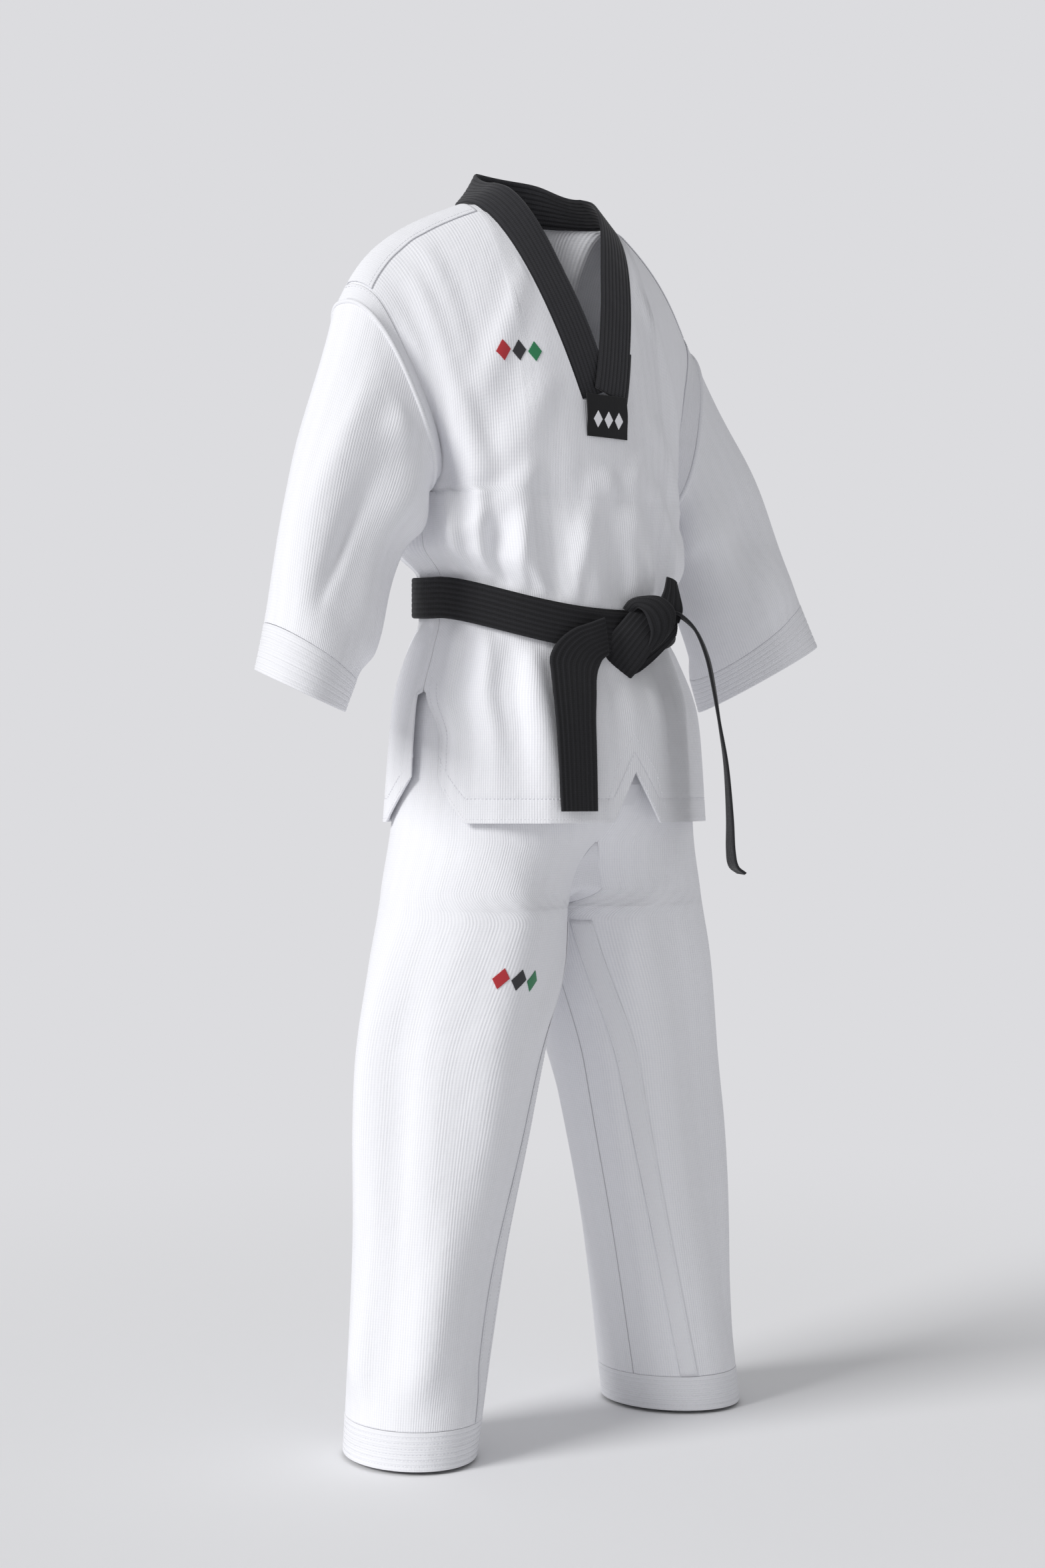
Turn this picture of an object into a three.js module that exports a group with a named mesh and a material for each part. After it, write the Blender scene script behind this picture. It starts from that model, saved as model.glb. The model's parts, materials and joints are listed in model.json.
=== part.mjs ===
// A martial arts uniform, dressed: a pullover jacket with a V collar, a tied belt and wide trousers.
// Millimetres. +Z is up, the wearer faces -Y and the wearer's left is +X.
// The origin is the middle of the neck base, where the jacket hangs on the shoulders.
import * as THREE from 'three';

// ---------------------------------------------------------------- cloth and clearances
const CLOTH = 1.6; // panel thickness, a doubled ribbed cotton with its seam allowance
const TAPE = 1.0; // sewn-on reinforcement tape
const BAND = 3.0; // collar band, six layers quilted
const CUFF_THICK = 2.4; // quilted cuffs and hem bands
const WEBBING = 3.6; // belt, quilted core and cover
const GAP = 0.4; // clearance between pieces that are sewn or lie on each other
const OVER_SEAM = 0.92; // and where a tape bridges a seam

// ---------------------------------------------------------------- jacket body
// Each station is a level of the torso: height, half width, depth to the front and to the back.
const HEM = { z: -682, width: 184, front: 150, back: 138 };
const SKIRT = { z: -560, width: 174, front: 141, back: 132 };
const UNDER_BELT = { z: -487, width: 154, front: 127, back: 118 };
const WAIST_LOW = { z: -460, width: 147, front: 122, back: 111 };
const WAIST_TOP = { z: -414, width: 147, front: 122, back: 111 };
const BLOUSE = { z: -380, width: 170, front: 120, back: 128 };
const CHEST = { z: -325, width: 174, front: 110, back: 118 };
const TORSO = [HEM, SKIRT, UNDER_BELT, WAIST_LOW, WAIST_TOP, BLOUSE, CHEST];
const SQUARENESS = 2 / 2.25; // exponent of the torso's rounded-square section
const BELT_LEVEL = (WAIST_LOW.z + WAIST_TOP.z) / 2;
const BELT_TILT = 38; // the belt sits this much lower in front than at the sides
const BACK_TILT = 0.3; // and rises behind by this share of it
const TILT_REACH = 150; // height over which the cloth levels out again

const SLIT_TOP = -529;
const CORNER_CUT = 50; // the front skirt's corners are cut off at 45 degrees
const CORNER_ANGLE = 70; // degrees round the torso where the cut meets the hem
const NOTCH_HALF = 32;
const NOTCH_HEIGHT = 55;
const FACING = 25; // turned hem facing
const SEAM = 0.35; // half the space between two panels that are sewn edge to edge

// ---------------------------------------------------------------- shoulders, armholes, neck
const TIP = { x: 246, y: 44, z: -121 }; // top of the dropped armhole seam
const ARMHOLE_FRONT = 58;
const ARMHOLE_BACK = 44;
const NECK = { side: 101, y: 12, z: 2, back: 78, rise: 9 };
const SHOULDER_DROP = NECK.z - TIP.z;
const COLLAR_WIDTH = 45;
const COLLAR_END = { x: 31, z: -217.5 };
const LABEL = { width: 58, height: 46 };
const YOKE_REACH = 15; // degrees of the shoulder's roll that the yoke covers on each side
const TAPE_START = 0.9; // share of the way from centre front to the armhole

// ---------------------------------------------------------------- sleeves
const CUFF_DEPTH = 46;
const CUFF = { long: 71.5, short: 46, turn: 30 };
const RIGHT_CUFF = { x: -333, y: 0, z: -543, riseX: -0.36, riseY: 0.3 };
const LEFT_CUFF = { x: 313, y: -30, z: -515, riseX: 0.5, riseY: -0.3 };

// ---------------------------------------------------------------- belt
const BELT_WIDTH = WAIST_TOP.z - WAIST_LOW.z - 1;
const BELT_OFF = CLOTH / 2 + GAP;
const KNOT = { x: 22, half: 42, rise: 33, drop: -2, turn: 8, edge: 15, crown: 9 };

// ---------------------------------------------------------------- trousers
const EASE = 7; // how far the trousers stay inside the jacket's skirt
const WAIST_EASE = 2.4; // and inside its waist, where the belt holds the jacket against them
const WAISTBAND_HEIGHT = 38;
const CROTCH = -762;
const BLEND_TOP = -600; // the section starts to part into two legs here
const THIGH_TOP = -664;
const LEG_TOP = -792;
const TROUSER_HEM = -1360;
const HEM_BAND = 40;
// Leg stations: height, distance of the leg's centre from the middle, half width, half depth.
const LEG = [
  { z: TROUSER_HEM, centre: 189, width: 69, depth: 84 },
  { z: -1150, centre: 162, width: 83, depth: 80 },
  { z: -1000, centre: 140, width: 96, depth: 86 },
  { z: -835, centre: 114, width: 105, depth: 101 },
  { z: CROTCH, centre: 100, width: 102, depth: 106 },
  { z: BLEND_TOP, centre: 72, width: 104, depth: 122 },
];
const TOE_OUT = 15; // degrees by which the legs turn outwards
const LEFT_SPLAY = 8; // the left leg stands this much further out at its hem

const RAD = Math.PI / 180;
const WHITE = 0xf2f2f4;
const SHADE = 0xe9e9ec;
const BLACK = 0x232325;
const uniform = new THREE.Group();

// ---------------------------------------------------------------- small helpers
const add = (a, b, k = 1) => a.map((value, i) => value + k * b[i]);
const sub = (a, b) => a.map((value, i) => value - b[i]);
const mix = (a, b, k) => a.map((value, i) => value + (b[i] - value) * k);
const lerp = (a, b, k) => a + (b - a) * k;
const clamp = (value, low, high) => Math.min(high, Math.max(low, value));
const smooth = (value) => value * value * (3 - 2 * value);
const cross = (a, b) => [a[1] * b[2] - a[2] * b[1], a[2] * b[0] - a[0] * b[2], a[0] * b[1] - a[1] * b[0]];
const unit = (a) => a.map((value) => value / Math.hypot(...a));
const power = (value, exponent) => Math.sign(value) * Math.abs(value) ** exponent;
const span = (from, to, count) => {
  const step = (to - from) / count;
  return Array.from({ length: count + 1 }, (_, i) => from + step * i);
};

// A smooth value between stations, without overshoot (monotone cubic).
function between(stations, key, at) {
  const rows = [...stations].sort((a, b) => a.z - b.z);
  const slopes = rows.slice(1).map((row, i) => (row[key] - rows[i][key]) / (row.z - rows[i].z));
  const bend = rows.map((_, i) => {
    if (i === 0) return slopes[0];
    if (i === rows.length - 1) return slopes[i - 1];
    if (slopes[i - 1] * slopes[i] <= 0) return 0;
    return (2 * slopes[i - 1] * slopes[i]) / (slopes[i - 1] + slopes[i]);
  });
  const z = clamp(at, rows[0].z, rows[rows.length - 1].z);
  let i = 0;
  while (i < rows.length - 2 && z > rows[i + 1].z) i += 1;
  const step = rows[i + 1].z - rows[i].z;
  const t = (z - rows[i].z) / step;
  return (
    rows[i][key] * (2 * t ** 3 - 3 * t ** 2 + 1) +
    step * bend[i] * (t ** 3 - 2 * t ** 2 + t) +
    rows[i + 1][key] * (3 * t ** 2 - 2 * t ** 3) +
    step * bend[i + 1] * (t ** 3 - t ** 2)
  );
}

// A closed solid between two offsets of the surface point(u, v), over the grid us x vs.
function shell(name, colour, point, us, vs, low, high, { loop = false, side = 1 } = {}) {
  const small = 1e-3;
  const scaleU = Math.abs(us[us.length - 1] - us[0]);
  const scaleV = Math.abs(vs[vs.length - 1] - vs[0]);
  const normal = (u, v) => {
    const du = sub(point(u + small * scaleU, v), point(u - small * scaleU, v));
    const dv = sub(point(u, v + small * scaleV), point(u, v - small * scaleV));
    return unit(cross(du, dv));
  };
  const columns = loop ? us.slice(0, -1) : us;
  const layers = [high, low].map((offset) =>
    columns.map((u) => vs.map((v) => {
      const reach = typeof offset === 'function' ? offset(u, v) : offset;
      return add(point(u, v), normal(u, v), side * reach);
    })));
  const vertices = layers.flat(2);
  const rows = vs.length;
  const wide = columns.length;
  const at = (layer, i, j) => (layer * wide + (i % wide)) * rows + j;
  const faces = [];
  const quad = (a, b, c, d) => faces.push([a, b, c], [a, c, d]);
  const last = loop ? wide : wide - 1;
  for (let i = 0; i < last; i += 1) {
    for (let j = 0; j < rows - 1; j += 1) {
      quad(at(0, i, j), at(0, i + 1, j), at(0, i + 1, j + 1), at(0, i, j + 1));
      quad(at(1, i, j), at(1, i, j + 1), at(1, i + 1, j + 1), at(1, i + 1, j));
    }
    quad(at(0, i, 0), at(1, i, 0), at(1, i + 1, 0), at(0, i + 1, 0));
    quad(at(0, i, rows - 1), at(0, i + 1, rows - 1), at(1, i + 1, rows - 1), at(1, i, rows - 1));
  }
  if (!loop) {
    for (let j = 0; j < rows - 1; j += 1) {
      quad(at(0, 0, j), at(0, 0, j + 1), at(1, 0, j + 1), at(1, 0, j));
      quad(at(0, last, j), at(1, last, j), at(1, last, j + 1), at(0, last, j + 1));
    }
  }
  return addPiece(name, colour, vertices, faces);
}

function addPiece(name, colour, vertices, faces) {
  const volume = faces.reduce((sum, [a, b, c]) => {
    const [p, q, r] = [vertices[a], vertices[b], vertices[c]];
    const turn = cross(q, r);
    return sum + p[0] * turn[0] + p[1] * turn[1] + p[2] * turn[2];
  }, 0);
  const outward = volume > 0 ? faces : faces.map(([a, b, c]) => [a, c, b]);
  const geometry = new THREE.BufferGeometry();
  geometry.setAttribute('position', new THREE.Float32BufferAttribute(vertices.flat(), 3));
  geometry.setIndex(outward.flat());
  geometry.computeVertexNormals();
  const material = new THREE.MeshStandardMaterial({ color: colour, roughness: 0.9, metalness: 0 });
  const mesh = new THREE.Mesh(geometry, material);
  mesh.name = name;
  uniform.add(mesh);
  return mesh;
}

// ---------------------------------------------------------------- torso surface
// The torso at an angle round the body (degrees: 0 front, 90 wearer's left, 180 back) and a level.
// Near the belt the levels tip forward with it.
function torso(angle, level, inset = 0) {
  const side = Math.sin(angle * RAD);
  const fore = Math.cos(angle * RAD);
  const width = between(TORSO, 'width', level) - inset;
  const depth = between(TORSO, fore > 0 ? 'front' : 'back', level) - inset;
  const swing = fore > 0 ? BELT_TILT : BELT_TILT * BACK_TILT;
  const fade = 1 - smooth(clamp(Math.abs(level - BELT_LEVEL) / TILT_REACH, 0, 1));
  const tilt = swing * power(fore, 1.5) * fade;
  return [width * power(side, SQUARENESS), -depth * power(fore, SQUARENESS), level - tilt];
}

// The armhole seam, from the armpit (-90) over the front (0) to the shoulder tip (90) or over the back.
function armhole(turn, side, back) {
  const armpit = [CHEST.width, 0, CHEST.z];
  const tip = [TIP.x, TIP.y, TIP.z];
  const centre = mix(armpit, tip, 0.5);
  const rise = sub(tip, centre);
  const point = add(centre, rise, power(Math.sin(turn * RAD), 0.85));
  const reach = (back ? ARMHOLE_BACK : -ARMHOLE_FRONT) * power(Math.cos(turn * RAD), 0.8);
  return [side * point[0], point[1] + reach, point[2]];
}

// The shoulder seam from the neck to the tip, by distance from the middle.
function shoulder(x) {
  const along = clamp((x - NECK.side) / (TIP.x - NECK.side), 0, 1);
  const fall = 0.42 * along + 0.58 * along ** 7;
  return [x, lerp(NECK.y, TIP.y, along), NECK.z - SHOULDER_DROP * fall];
}

// The neck seam behind the shoulder seams, by distance from the middle.
function backNeck(x) {
  const round = Math.sqrt(Math.max(0, 1 - (x / NECK.side) ** 2));
  return [x, NECK.y + NECK.back * round, NECK.z + NECK.rise * round];
}

// The panel above the armpits: across from 0 (middle) to 1 (armhole), roll from 0 (armpit) to 90 (shoulder).
function upper(across, roll, side, back) {
  const foot = torso(back ? 180 - across * 90 : across * 90, CHEST.z);
  const x = columnX(across);
  const ridge = x < NECK.side ? (back ? backNeck(x) : [x, NECK.y, NECK.z]) : shoulder(x);
  const up = Math.sin(roll * RAD);
  const out = Math.cos(roll * RAD);
  const plain = [lerp(ridge[0], foot[0], out), lerp(ridge[1], foot[1], out), lerp(foot[2], ridge[2], up)];
  const seam = armhole(2 * roll - 90, 1, back);
  const point = mix(plain, seam, across ** 4);
  return [side * point[0], point[1], point[2]];
}

// One whole panel, front or back. u runs from -1 to 1 across; v from 0 (hem) over 1 (armpit) to 2 (top).
const acrossAt = (x) => Math.asin((x / CHEST.width) ** (1 / SQUARENESS)) / (90 * RAD);
const columnX = (across) => torso(across * 90, CHEST.z)[0] + (TIP.x - CHEST.width) * across ** 3;
function acrossNear(x) {
  let low = 0;
  let high = 1;
  for (let i = 0; i < 50; i += 1) {
    const middle = (low + high) / 2;
    if (columnX(middle) < x) low = middle;
    else high = middle;
  }
  return low;
}
const NECK_ACROSS = acrossNear(NECK.side);

// Where the front panel's V edge lies: the roll at which the column reaches the neckline.
function neckRoll(across) {
  const share = clamp((columnX(across) - COLLAR_END.x) / (NECK.side - COLLAR_END.x), 0, 1);
  const z = lerp(COLLAR_END.z, NECK.z, share);
  return Math.asin(clamp((z - CHEST.z) / (NECK.z - CHEST.z), 0, 1)) / RAD;
}

function hemLevel(across, back) {
  const angle = across * 90;
  const cut = CORNER_CUT * clamp((angle - CORNER_ANGLE) / (90 - CORNER_ANGLE), 0, 1);
  if (back) return HEM.z + cut;
  const x = torso(angle, HEM.z)[0];
  return HEM.z + cut + NOTCH_HEIGHT * clamp(1 - x / NOTCH_HALF, 0, 1);
}

const LEVELS = [-592, SKIRT.z, SLIT_TOP, UNDER_BELT.z, WAIST_LOW.z, WAIST_TOP.z, BLOUSE.z];
const LOWER_ROWS = [0, 1, ...LEVELS.map((_, i) => i + 2), LEVELS.length + 2]; // hem, facing, levels, armpit
const ARMPIT_ROW = LEVELS.length + 2;
const ROLLS = [12, 24, 37, 50, 63, 90 - YOKE_REACH, 83, 90];
const TOP_ROW = ARMPIT_ROW + ROLLS.length;

function panel(u, row, back) {
  const side = Math.sign(u) || 1;
  const across = Math.min(1, Math.abs(u));
  if (row <= ARMPIT_ROW) {
    const levels = [hemLevel(across, back), hemLevel(across, back) + FACING, ...LEVELS, CHEST.z];
    const index = clamp(Math.floor(row), 0, levels.length - 2);
    const level = lerp(levels[index], levels[index + 1], row - index);
    const angle = back ? 180 - across * 90 : across * 90;
    const point = torso(angle, level);
    return [side * point[0], point[1], point[2]];
  }
  const rolls = [0, ...ROLLS];
  const place = row - ARMPIT_ROW;
  const index = clamp(Math.floor(place), 0, rolls.length - 2);
  const roll = lerp(rolls[index], rolls[index + 1], place - index);
  const limit = !back && across < NECK_ACROSS ? neckRoll(across) / 90 : 1;
  return upper(across, roll * limit, side, back);
}

const V_COLUMNS = span(COLLAR_END.x, NECK.side, 4).slice(0, -1).map(acrossAt);
const OUTER_COLUMNS = [0.48, 0.57, 0.66, 0.74, 0.82, TAPE_START, 0.96, 1];
const FRONT_HALF = [acrossAt(15.5), ...V_COLUMNS, NECK_ACROSS, ...OUTER_COLUMNS];
const mirrored = (half) => [...half.map((u) => -u).reverse(), 0, ...half];
const BODY_ROWS = [...LOWER_ROWS, ...ROLLS.map((_, i) => ARMPIT_ROW + 1 + i)];

function torsoPanel(name, back) {
  // The side edges stop just short of the side seam and of the shoulder seam.
  const columns = mirrored(FRONT_HALF);
  const seamed = (u, row) => {
    const point = panel(u, Math.min(row, TOP_ROW), back);
    const toSide = back ? SEAM : -SEAM;
    const nearSide = smooth(clamp((Math.abs(u) - 0.96) / 0.04, 0, 1)) * (row < ARMPIT_ROW + 1 ? 1 : 0);
    const nearTop = row > TOP_ROW - 1 && Math.abs(u) >= NECK_ACROSS ? row - TOP_ROW + 1 : 0;
    return [point[0], point[1] + toSide * Math.max(nearSide, nearTop), point[2]];
  };
  shell(name, WHITE, seamed, columns, BODY_ROWS, -CLOTH / 2, CLOTH / 2, { side: back ? -1 : 1 });
}
torsoPanel('jacket_front', false);
torsoPanel('jacket_back', true);

// A strip on a panel: part of its own grid, lifted onto its outside (1) or inside (-1).
function onPanel(name, colour, columns, rows, back, face, thick) {
  const near = CLOTH / 2 + GAP;
  const offsets = [face * near, face * (near + thick)];
  shell(name, colour, (u, row) => panel(u, row, back), columns, rows, ...offsets, { side: back ? -1 : 1 });
}
const HEM_COLUMNS = mirrored(FRONT_HALF).map((u) => clamp(u, -0.985, 0.985));
onPanel('front_hem_facing', SHADE, HEM_COLUMNS, [0.04, 1], false, -1, TAPE);
onPanel('back_hem_facing', SHADE, HEM_COLUMNS, [0.04, 1], true, -1, TAPE);

// The trapezoid stitched above the notch at the centre front, inside the skirt.
const NOTCH_PATCH = { top: 13, bottom: 26, height: 34 };
shell('notch_reinforcement', SHADE, (s, t) => {
  const x = s * lerp(NOTCH_PATCH.bottom, NOTCH_PATCH.top, t);
  const level = HEM.z + NOTCH_HEIGHT + FACING + 2 + t * NOTCH_PATCH.height;
  const angle = Math.asin((Math.abs(x) / HEM.width) ** (1 / SQUARENESS)) / RAD;
  const point = torso(angle, level);
  return [(Math.sign(s) || 1) * point[0], point[1], point[2]];
}, [-1, 0, 1], [0, 0.5, 1], -CLOTH / 2 - 1.8 * GAP - TAPE, -CLOTH / 2 - 1.8 * GAP);

// Shoulder yokes: a strip over each shoulder seam, from the neck to the armhole tape.
const YOKE_COLUMNS = [NECK_ACROSS + 0.02, 0.48, 0.57, 0.66, 0.74, 0.82, TAPE_START - 0.01];
const rolled = (across, roll, side) => upper(across, 90 - Math.abs(roll), side, roll > 0);
const YOKE_ROLLS = [-YOKE_REACH, -7, 0, 7, YOKE_REACH];
const TAPE_ROLLS = mirrored(ROLLS.slice(1, -1).map((roll) => 90 - roll).reverse());
for (const [label, side] of [['right', -1], ['left', 1]]) {
  const yoke = (across, roll) => rolled(across, roll, side);
  const near = CLOTH / 2 + OVER_SEAM;
  const outside = [side * near, side * (near + TAPE)];
  shell(`${label}_shoulder_yoke`, SHADE, yoke, YOKE_COLUMNS, YOKE_ROLLS, ...outside);
  shell(`${label}_armhole_tape`, SHADE, yoke, [TAPE_START, 0.96, 0.995], TAPE_ROLLS, ...outside);
}

// ---------------------------------------------------------------- sleeves and cuffs
// A sleeve runs from the armhole ring (0) to the cuff's edge (1); turn goes once round it.
function cuffRing(turn, cuff, side) {
  const lean = (turn - CUFF.turn) * RAD;
  const long = [side * Math.sin(CUFF.turn * RAD), -Math.cos(CUFF.turn * RAD)];
  const short = [side * Math.cos(CUFF.turn * RAD), Math.sin(CUFF.turn * RAD)];
  const dx = CUFF.long * Math.cos(lean) * long[0] + CUFF.short * Math.sin(lean) * short[0];
  const dy = CUFF.long * Math.cos(lean) * long[1] + CUFF.short * Math.sin(lean) * short[1];
  return [cuff.x + dx, cuff.y + dy, cuff.z + cuff.riseX * dx + cuff.riseY * dy];
}
const SLEEVE_BULGE = 10;
const ARMPIT_EASE = 4; // how far the sleeve stands off the side seam at the armpit
function sleevePoint(turn, along, cuff, side) {
  const back = Math.cos(turn * RAD) < 0;
  const start = armhole(back ? 180 - turn : turn, side, back);
  const end = cuffRing(turn, cuff, side);
  const loose = lerp(ARMPIT_EASE, 0.5, (1 + Math.sin(turn * RAD)) / 2);
  const point = mix([start[0] + side * loose, start[1], start[2]], end, along);
  const swell = SLEEVE_BULGE * Math.sin(Math.PI * along) ** 2 * Math.max(0, Math.sin(turn * RAD));
  return [point[0] + side * swell, point[1], point[2]];
}
const ROUND = span(-90, 270, 20);
for (const [label, side, cuff] of [['right', -1, RIGHT_CUFF], ['left', 1, LEFT_CUFF]]) {
  const length = Math.hypot(...sub(cuffRing(0, cuff, side), armhole(0, side, false)));
  const cuffStart = 1 - CUFF_DEPTH / length;
  const gap = 0.5 / length;
  const point = (turn, along) => sleevePoint(turn, along, cuff, side);
  const faces = [-CLOTH / 2, CLOTH / 2];
  const sleeveRows = span(0.9 / length, cuffStart - gap, 6);
  shell(`${label}_sleeve`, WHITE, point, ROUND, sleeveRows, ...faces, { loop: true });
  shell(`${label}_cuff`, SHADE, point, ROUND, [cuffStart, (1 + cuffStart) / 2, 1],
    -CUFF_THICK / 2, CUFF_THICK / 2, { loop: true });
}

// ---------------------------------------------------------------- collar
// The band's seam runs down the V edge, and the band stands up round the neck.
// s: -1 right end, 0 centre back, 1 left end. w: 0 at the seam, 1 at the free edge.
const COLLAR_GAP = 2.4; // from the panel's edge to the band's, in the band's plane
const FRONT_PART = 0.55; // share of the band's half length that lies on the chest
const CHEST_LEAN = [-0.949, 0, 0.316];
const SIDE_LEAN = [-0.8, -0.1, 0.58];
const BACK_LEAN = [0, -0.24, 0.97];
function collarEdge(share) {
  if (share >= 1 - FRONT_PART) {
    const x = lerp(NECK.side, COLLAR_END.x, (share - 1 + FRONT_PART) / FRONT_PART);
    const across = clamp(acrossNear(x), 0, 1);
    return upper(across, neckRoll(across), 1, false);
  }
  const round = (share / (1 - FRONT_PART)) * 90 * RAD;
  return backNeck(NECK.side * Math.sin(round));
}
function collarPoint(s, w) {
  const share = Math.abs(s);
  const side = Math.sign(s) || 1;
  const edge = collarEdge(share);
  const toSide = smooth(clamp(share / (1 - FRONT_PART), 0, 1));
  const toChest = smooth(clamp((share - 1 + FRONT_PART) / (FRONT_PART * 0.45), 0, 1));
  const lean = unit(mix(mix(BACK_LEAN, SIDE_LEAN, toSide), CHEST_LEAN, toChest));
  const crossing = smooth(clamp((share - 0.8) / 0.2, 0, 1)) * (s > 0 ? -1.1 : 1.1) * (BAND / 2 + GAP);
  const reach = COLLAR_GAP + w * COLLAR_WIDTH;
  const point = add(edge, lean, reach);
  return [side * point[0], point[1] + crossing, point[2]];
}
const NECK_PART = 1 - FRONT_PART;
const COLLAR_STATIONS = [
  ...span(-1, -NECK_PART, 7),
  ...span(-NECK_PART, NECK_PART, 10).slice(1, -1),
  ...span(NECK_PART, 1, 7),
];
shell('collar_band', BLACK, collarPoint, COLLAR_STATIONS, [0, 0.5, 1], -BAND / 2, BAND / 2, { side: 1 });

// The plain label below the V covers the crossed ends of the band.
const frontAt = (x, z) => {
  const across = acrossNear(Math.abs(x));
  const roll = Math.asin(clamp((z - CHEST.z) / (NECK.z - CHEST.z), 0, 1)) / RAD;
  const point = upper(across, roll, 1, false);
  return [x, point[1], z];
};
const LABEL_TOP = COLLAR_END.z + 2;
const LABEL_FOOT = LABEL_TOP - LABEL.height;
const labelLift = (x, z) => lerp(CLOTH / 2 + GAP, 4.6, smooth(clamp((z - LABEL_FOOT) / 30, 0, 1)));
shell('collar_label', BLACK, frontAt, [-LABEL.width / 2, -15.5, 0, 15.5, LABEL.width / 2],
  [LABEL_FOOT, LABEL_FOOT + 15, LABEL_FOOT + 30, LABEL_TOP], labelLift, (x, z) => labelLift(x, z) + TAPE);

const SIZE_LABEL_HALF = 15.5;
shell('size_label', WHITE, (x, roll) => {
  const point = upper(acrossNear(Math.abs(x)), roll, Math.sign(x) || 1, true);
  return [x, point[1], point[2]];
}, [-SIZE_LABEL_HALF, 0, SIZE_LABEL_HALF], [63, 75, 83, 88], CLOTH / 2 + GAP, CLOTH / 2 + GAP + TAPE);

// ---------------------------------------------------------------- belt
const FRONT_ANGLES = mirrored(FRONT_HALF).map((u) => u * 90);
const BELT_ROUND = [...FRONT_ANGLES, ...FRONT_ANGLES.map((angle) => 180 + angle)]
  .filter((angle, i, all) => all.findIndex((other) => Math.abs(other - angle) < 1.5) === i && angle < 268.5);
BELT_ROUND.sort((a, b) => a - b).push(BELT_ROUND[0] + 360);
const beltRows = [BELT_LEVEL - BELT_WIDTH / 2, BELT_LEVEL + BELT_WIDTH / 2];
const beltPoint = (angle, level) => torso(angle, level);
const INNER_WRAP = [BELT_OFF, BELT_OFF + WEBBING];
const OUTER_WRAP = [INNER_WRAP[1] + GAP, INNER_WRAP[1] + GAP + WEBBING];
shell('belt_inner_wrap', BLACK, beltPoint, BELT_ROUND, beltRows, ...INNER_WRAP, { loop: true });
shell('belt_outer_wrap', BLACK, beltPoint, BELT_ROUND, beltRows, ...OUTER_WRAP, { loop: true });

// A point in front of the torso: x and level, lifted off the cloth along its outward direction.
function inFront(x, level, lift) {
  const width = between(TORSO, 'width', level);
  const angleAt = (at) => Math.sign(at) * Math.asin((Math.abs(at) / width) ** (1 / SQUARENESS)) / RAD;
  const point = torso(angleAt(x), level);
  const along = unit(sub(torso(angleAt(x + 1), level), torso(angleAt(x - 1), level)));
  const out = unit([along[1], -along[0], 0]);
  return add(point, out, lift);
}

// The knot is two folded turns of webbing in front of the wraps.
const KNOT_BACK = OUTER_WRAP[1] + 0.5;
function knotPoint(a, b) {
  const turn = KNOT.turn * RAD;
  const x = KNOT.x + a * KNOT.half * Math.cos(turn) + b * KNOT.rise * Math.sin(turn);
  const level = BELT_LEVEL + KNOT.drop - a * KNOT.half * Math.sin(turn) + b * KNOT.rise * Math.cos(turn);
  return inFront(x, level, 0);
}
const knotFront = (a, b) => KNOT_BACK + KNOT.edge + KNOT.crown * (1 - a * a) * (1 - b * b);
const KNOT_ROWS = [-1, -0.5, 0, 0.5, 1];
const KNOT_COLUMNS = [0.012, 0.34, 0.67, 1];
const knotLeft = KNOT_COLUMNS.map((a) => -a).reverse();
shell('belt_knot_turn', BLACK, knotPoint, knotLeft, KNOT_ROWS, KNOT_BACK, knotFront);
shell('belt_knot_loop', BLACK, knotPoint, KNOT_COLUMNS, KNOT_ROWS, KNOT_BACK, knotFront);

// A flat strap along a curve, its width lying along widthAt(share).
function strap(name, points, widthAt, steps) {
  const curve = new THREE.CatmullRomCurve3(points.map((p) => new THREE.Vector3(...p)), false, 'centripetal');
  const middle = (share) => curve.getPoint(clamp(share, 0, 1)).toArray();
  const point = (share, w) => add(middle(share), widthAt(share), w * BELT_WIDTH);
  shell(name, BLACK, point, span(0.001, 0.999, steps), [-0.5, 0, 0.5], -WEBBING / 2, WEBBING / 2);
}
// The front end leaves the knot low on the wearer's right and hangs flat on the skirt.
const FRONT_END = [[-34, -464, 15], [-58, -486, 15], [-73, -505, 11], [-77, -560, 6], [-78, -668, 5]];
const frontWidth = () => unit(sub(inFront(-70, -560, 0), inFront(-85, -560, 0)));
strap('belt_front_end', FRONT_END.map((p) => inFront(...p)), frontWidth, 12);

// The side end leaves the knot on the wearer's left, arcs over and hangs in a plane that faces outwards.
const SIDE_PLANE = 40; // degrees from the X axis towards the front
const SIDE_DEPTH = -70; // where that plane lies, along its own normal
const SIDE_END = [[145.5, -455], [168, -472], [187, -532], [201, -620], [209, -735]];
const planeOut = [Math.cos(SIDE_PLANE * RAD), -Math.sin(SIDE_PLANE * RAD), 0];
const planeAcross = [Math.sin(SIDE_PLANE * RAD), Math.cos(SIDE_PLANE * RAD), 0];
const sidePoints = SIDE_END.map(([out, z]) => {
  const flat = add(planeOut.map((value) => value * out), planeAcross, SIDE_DEPTH);
  return [flat[0], flat[1], z];
});
strap('belt_side_end', sidePoints, () => planeAcross, 14);

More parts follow.
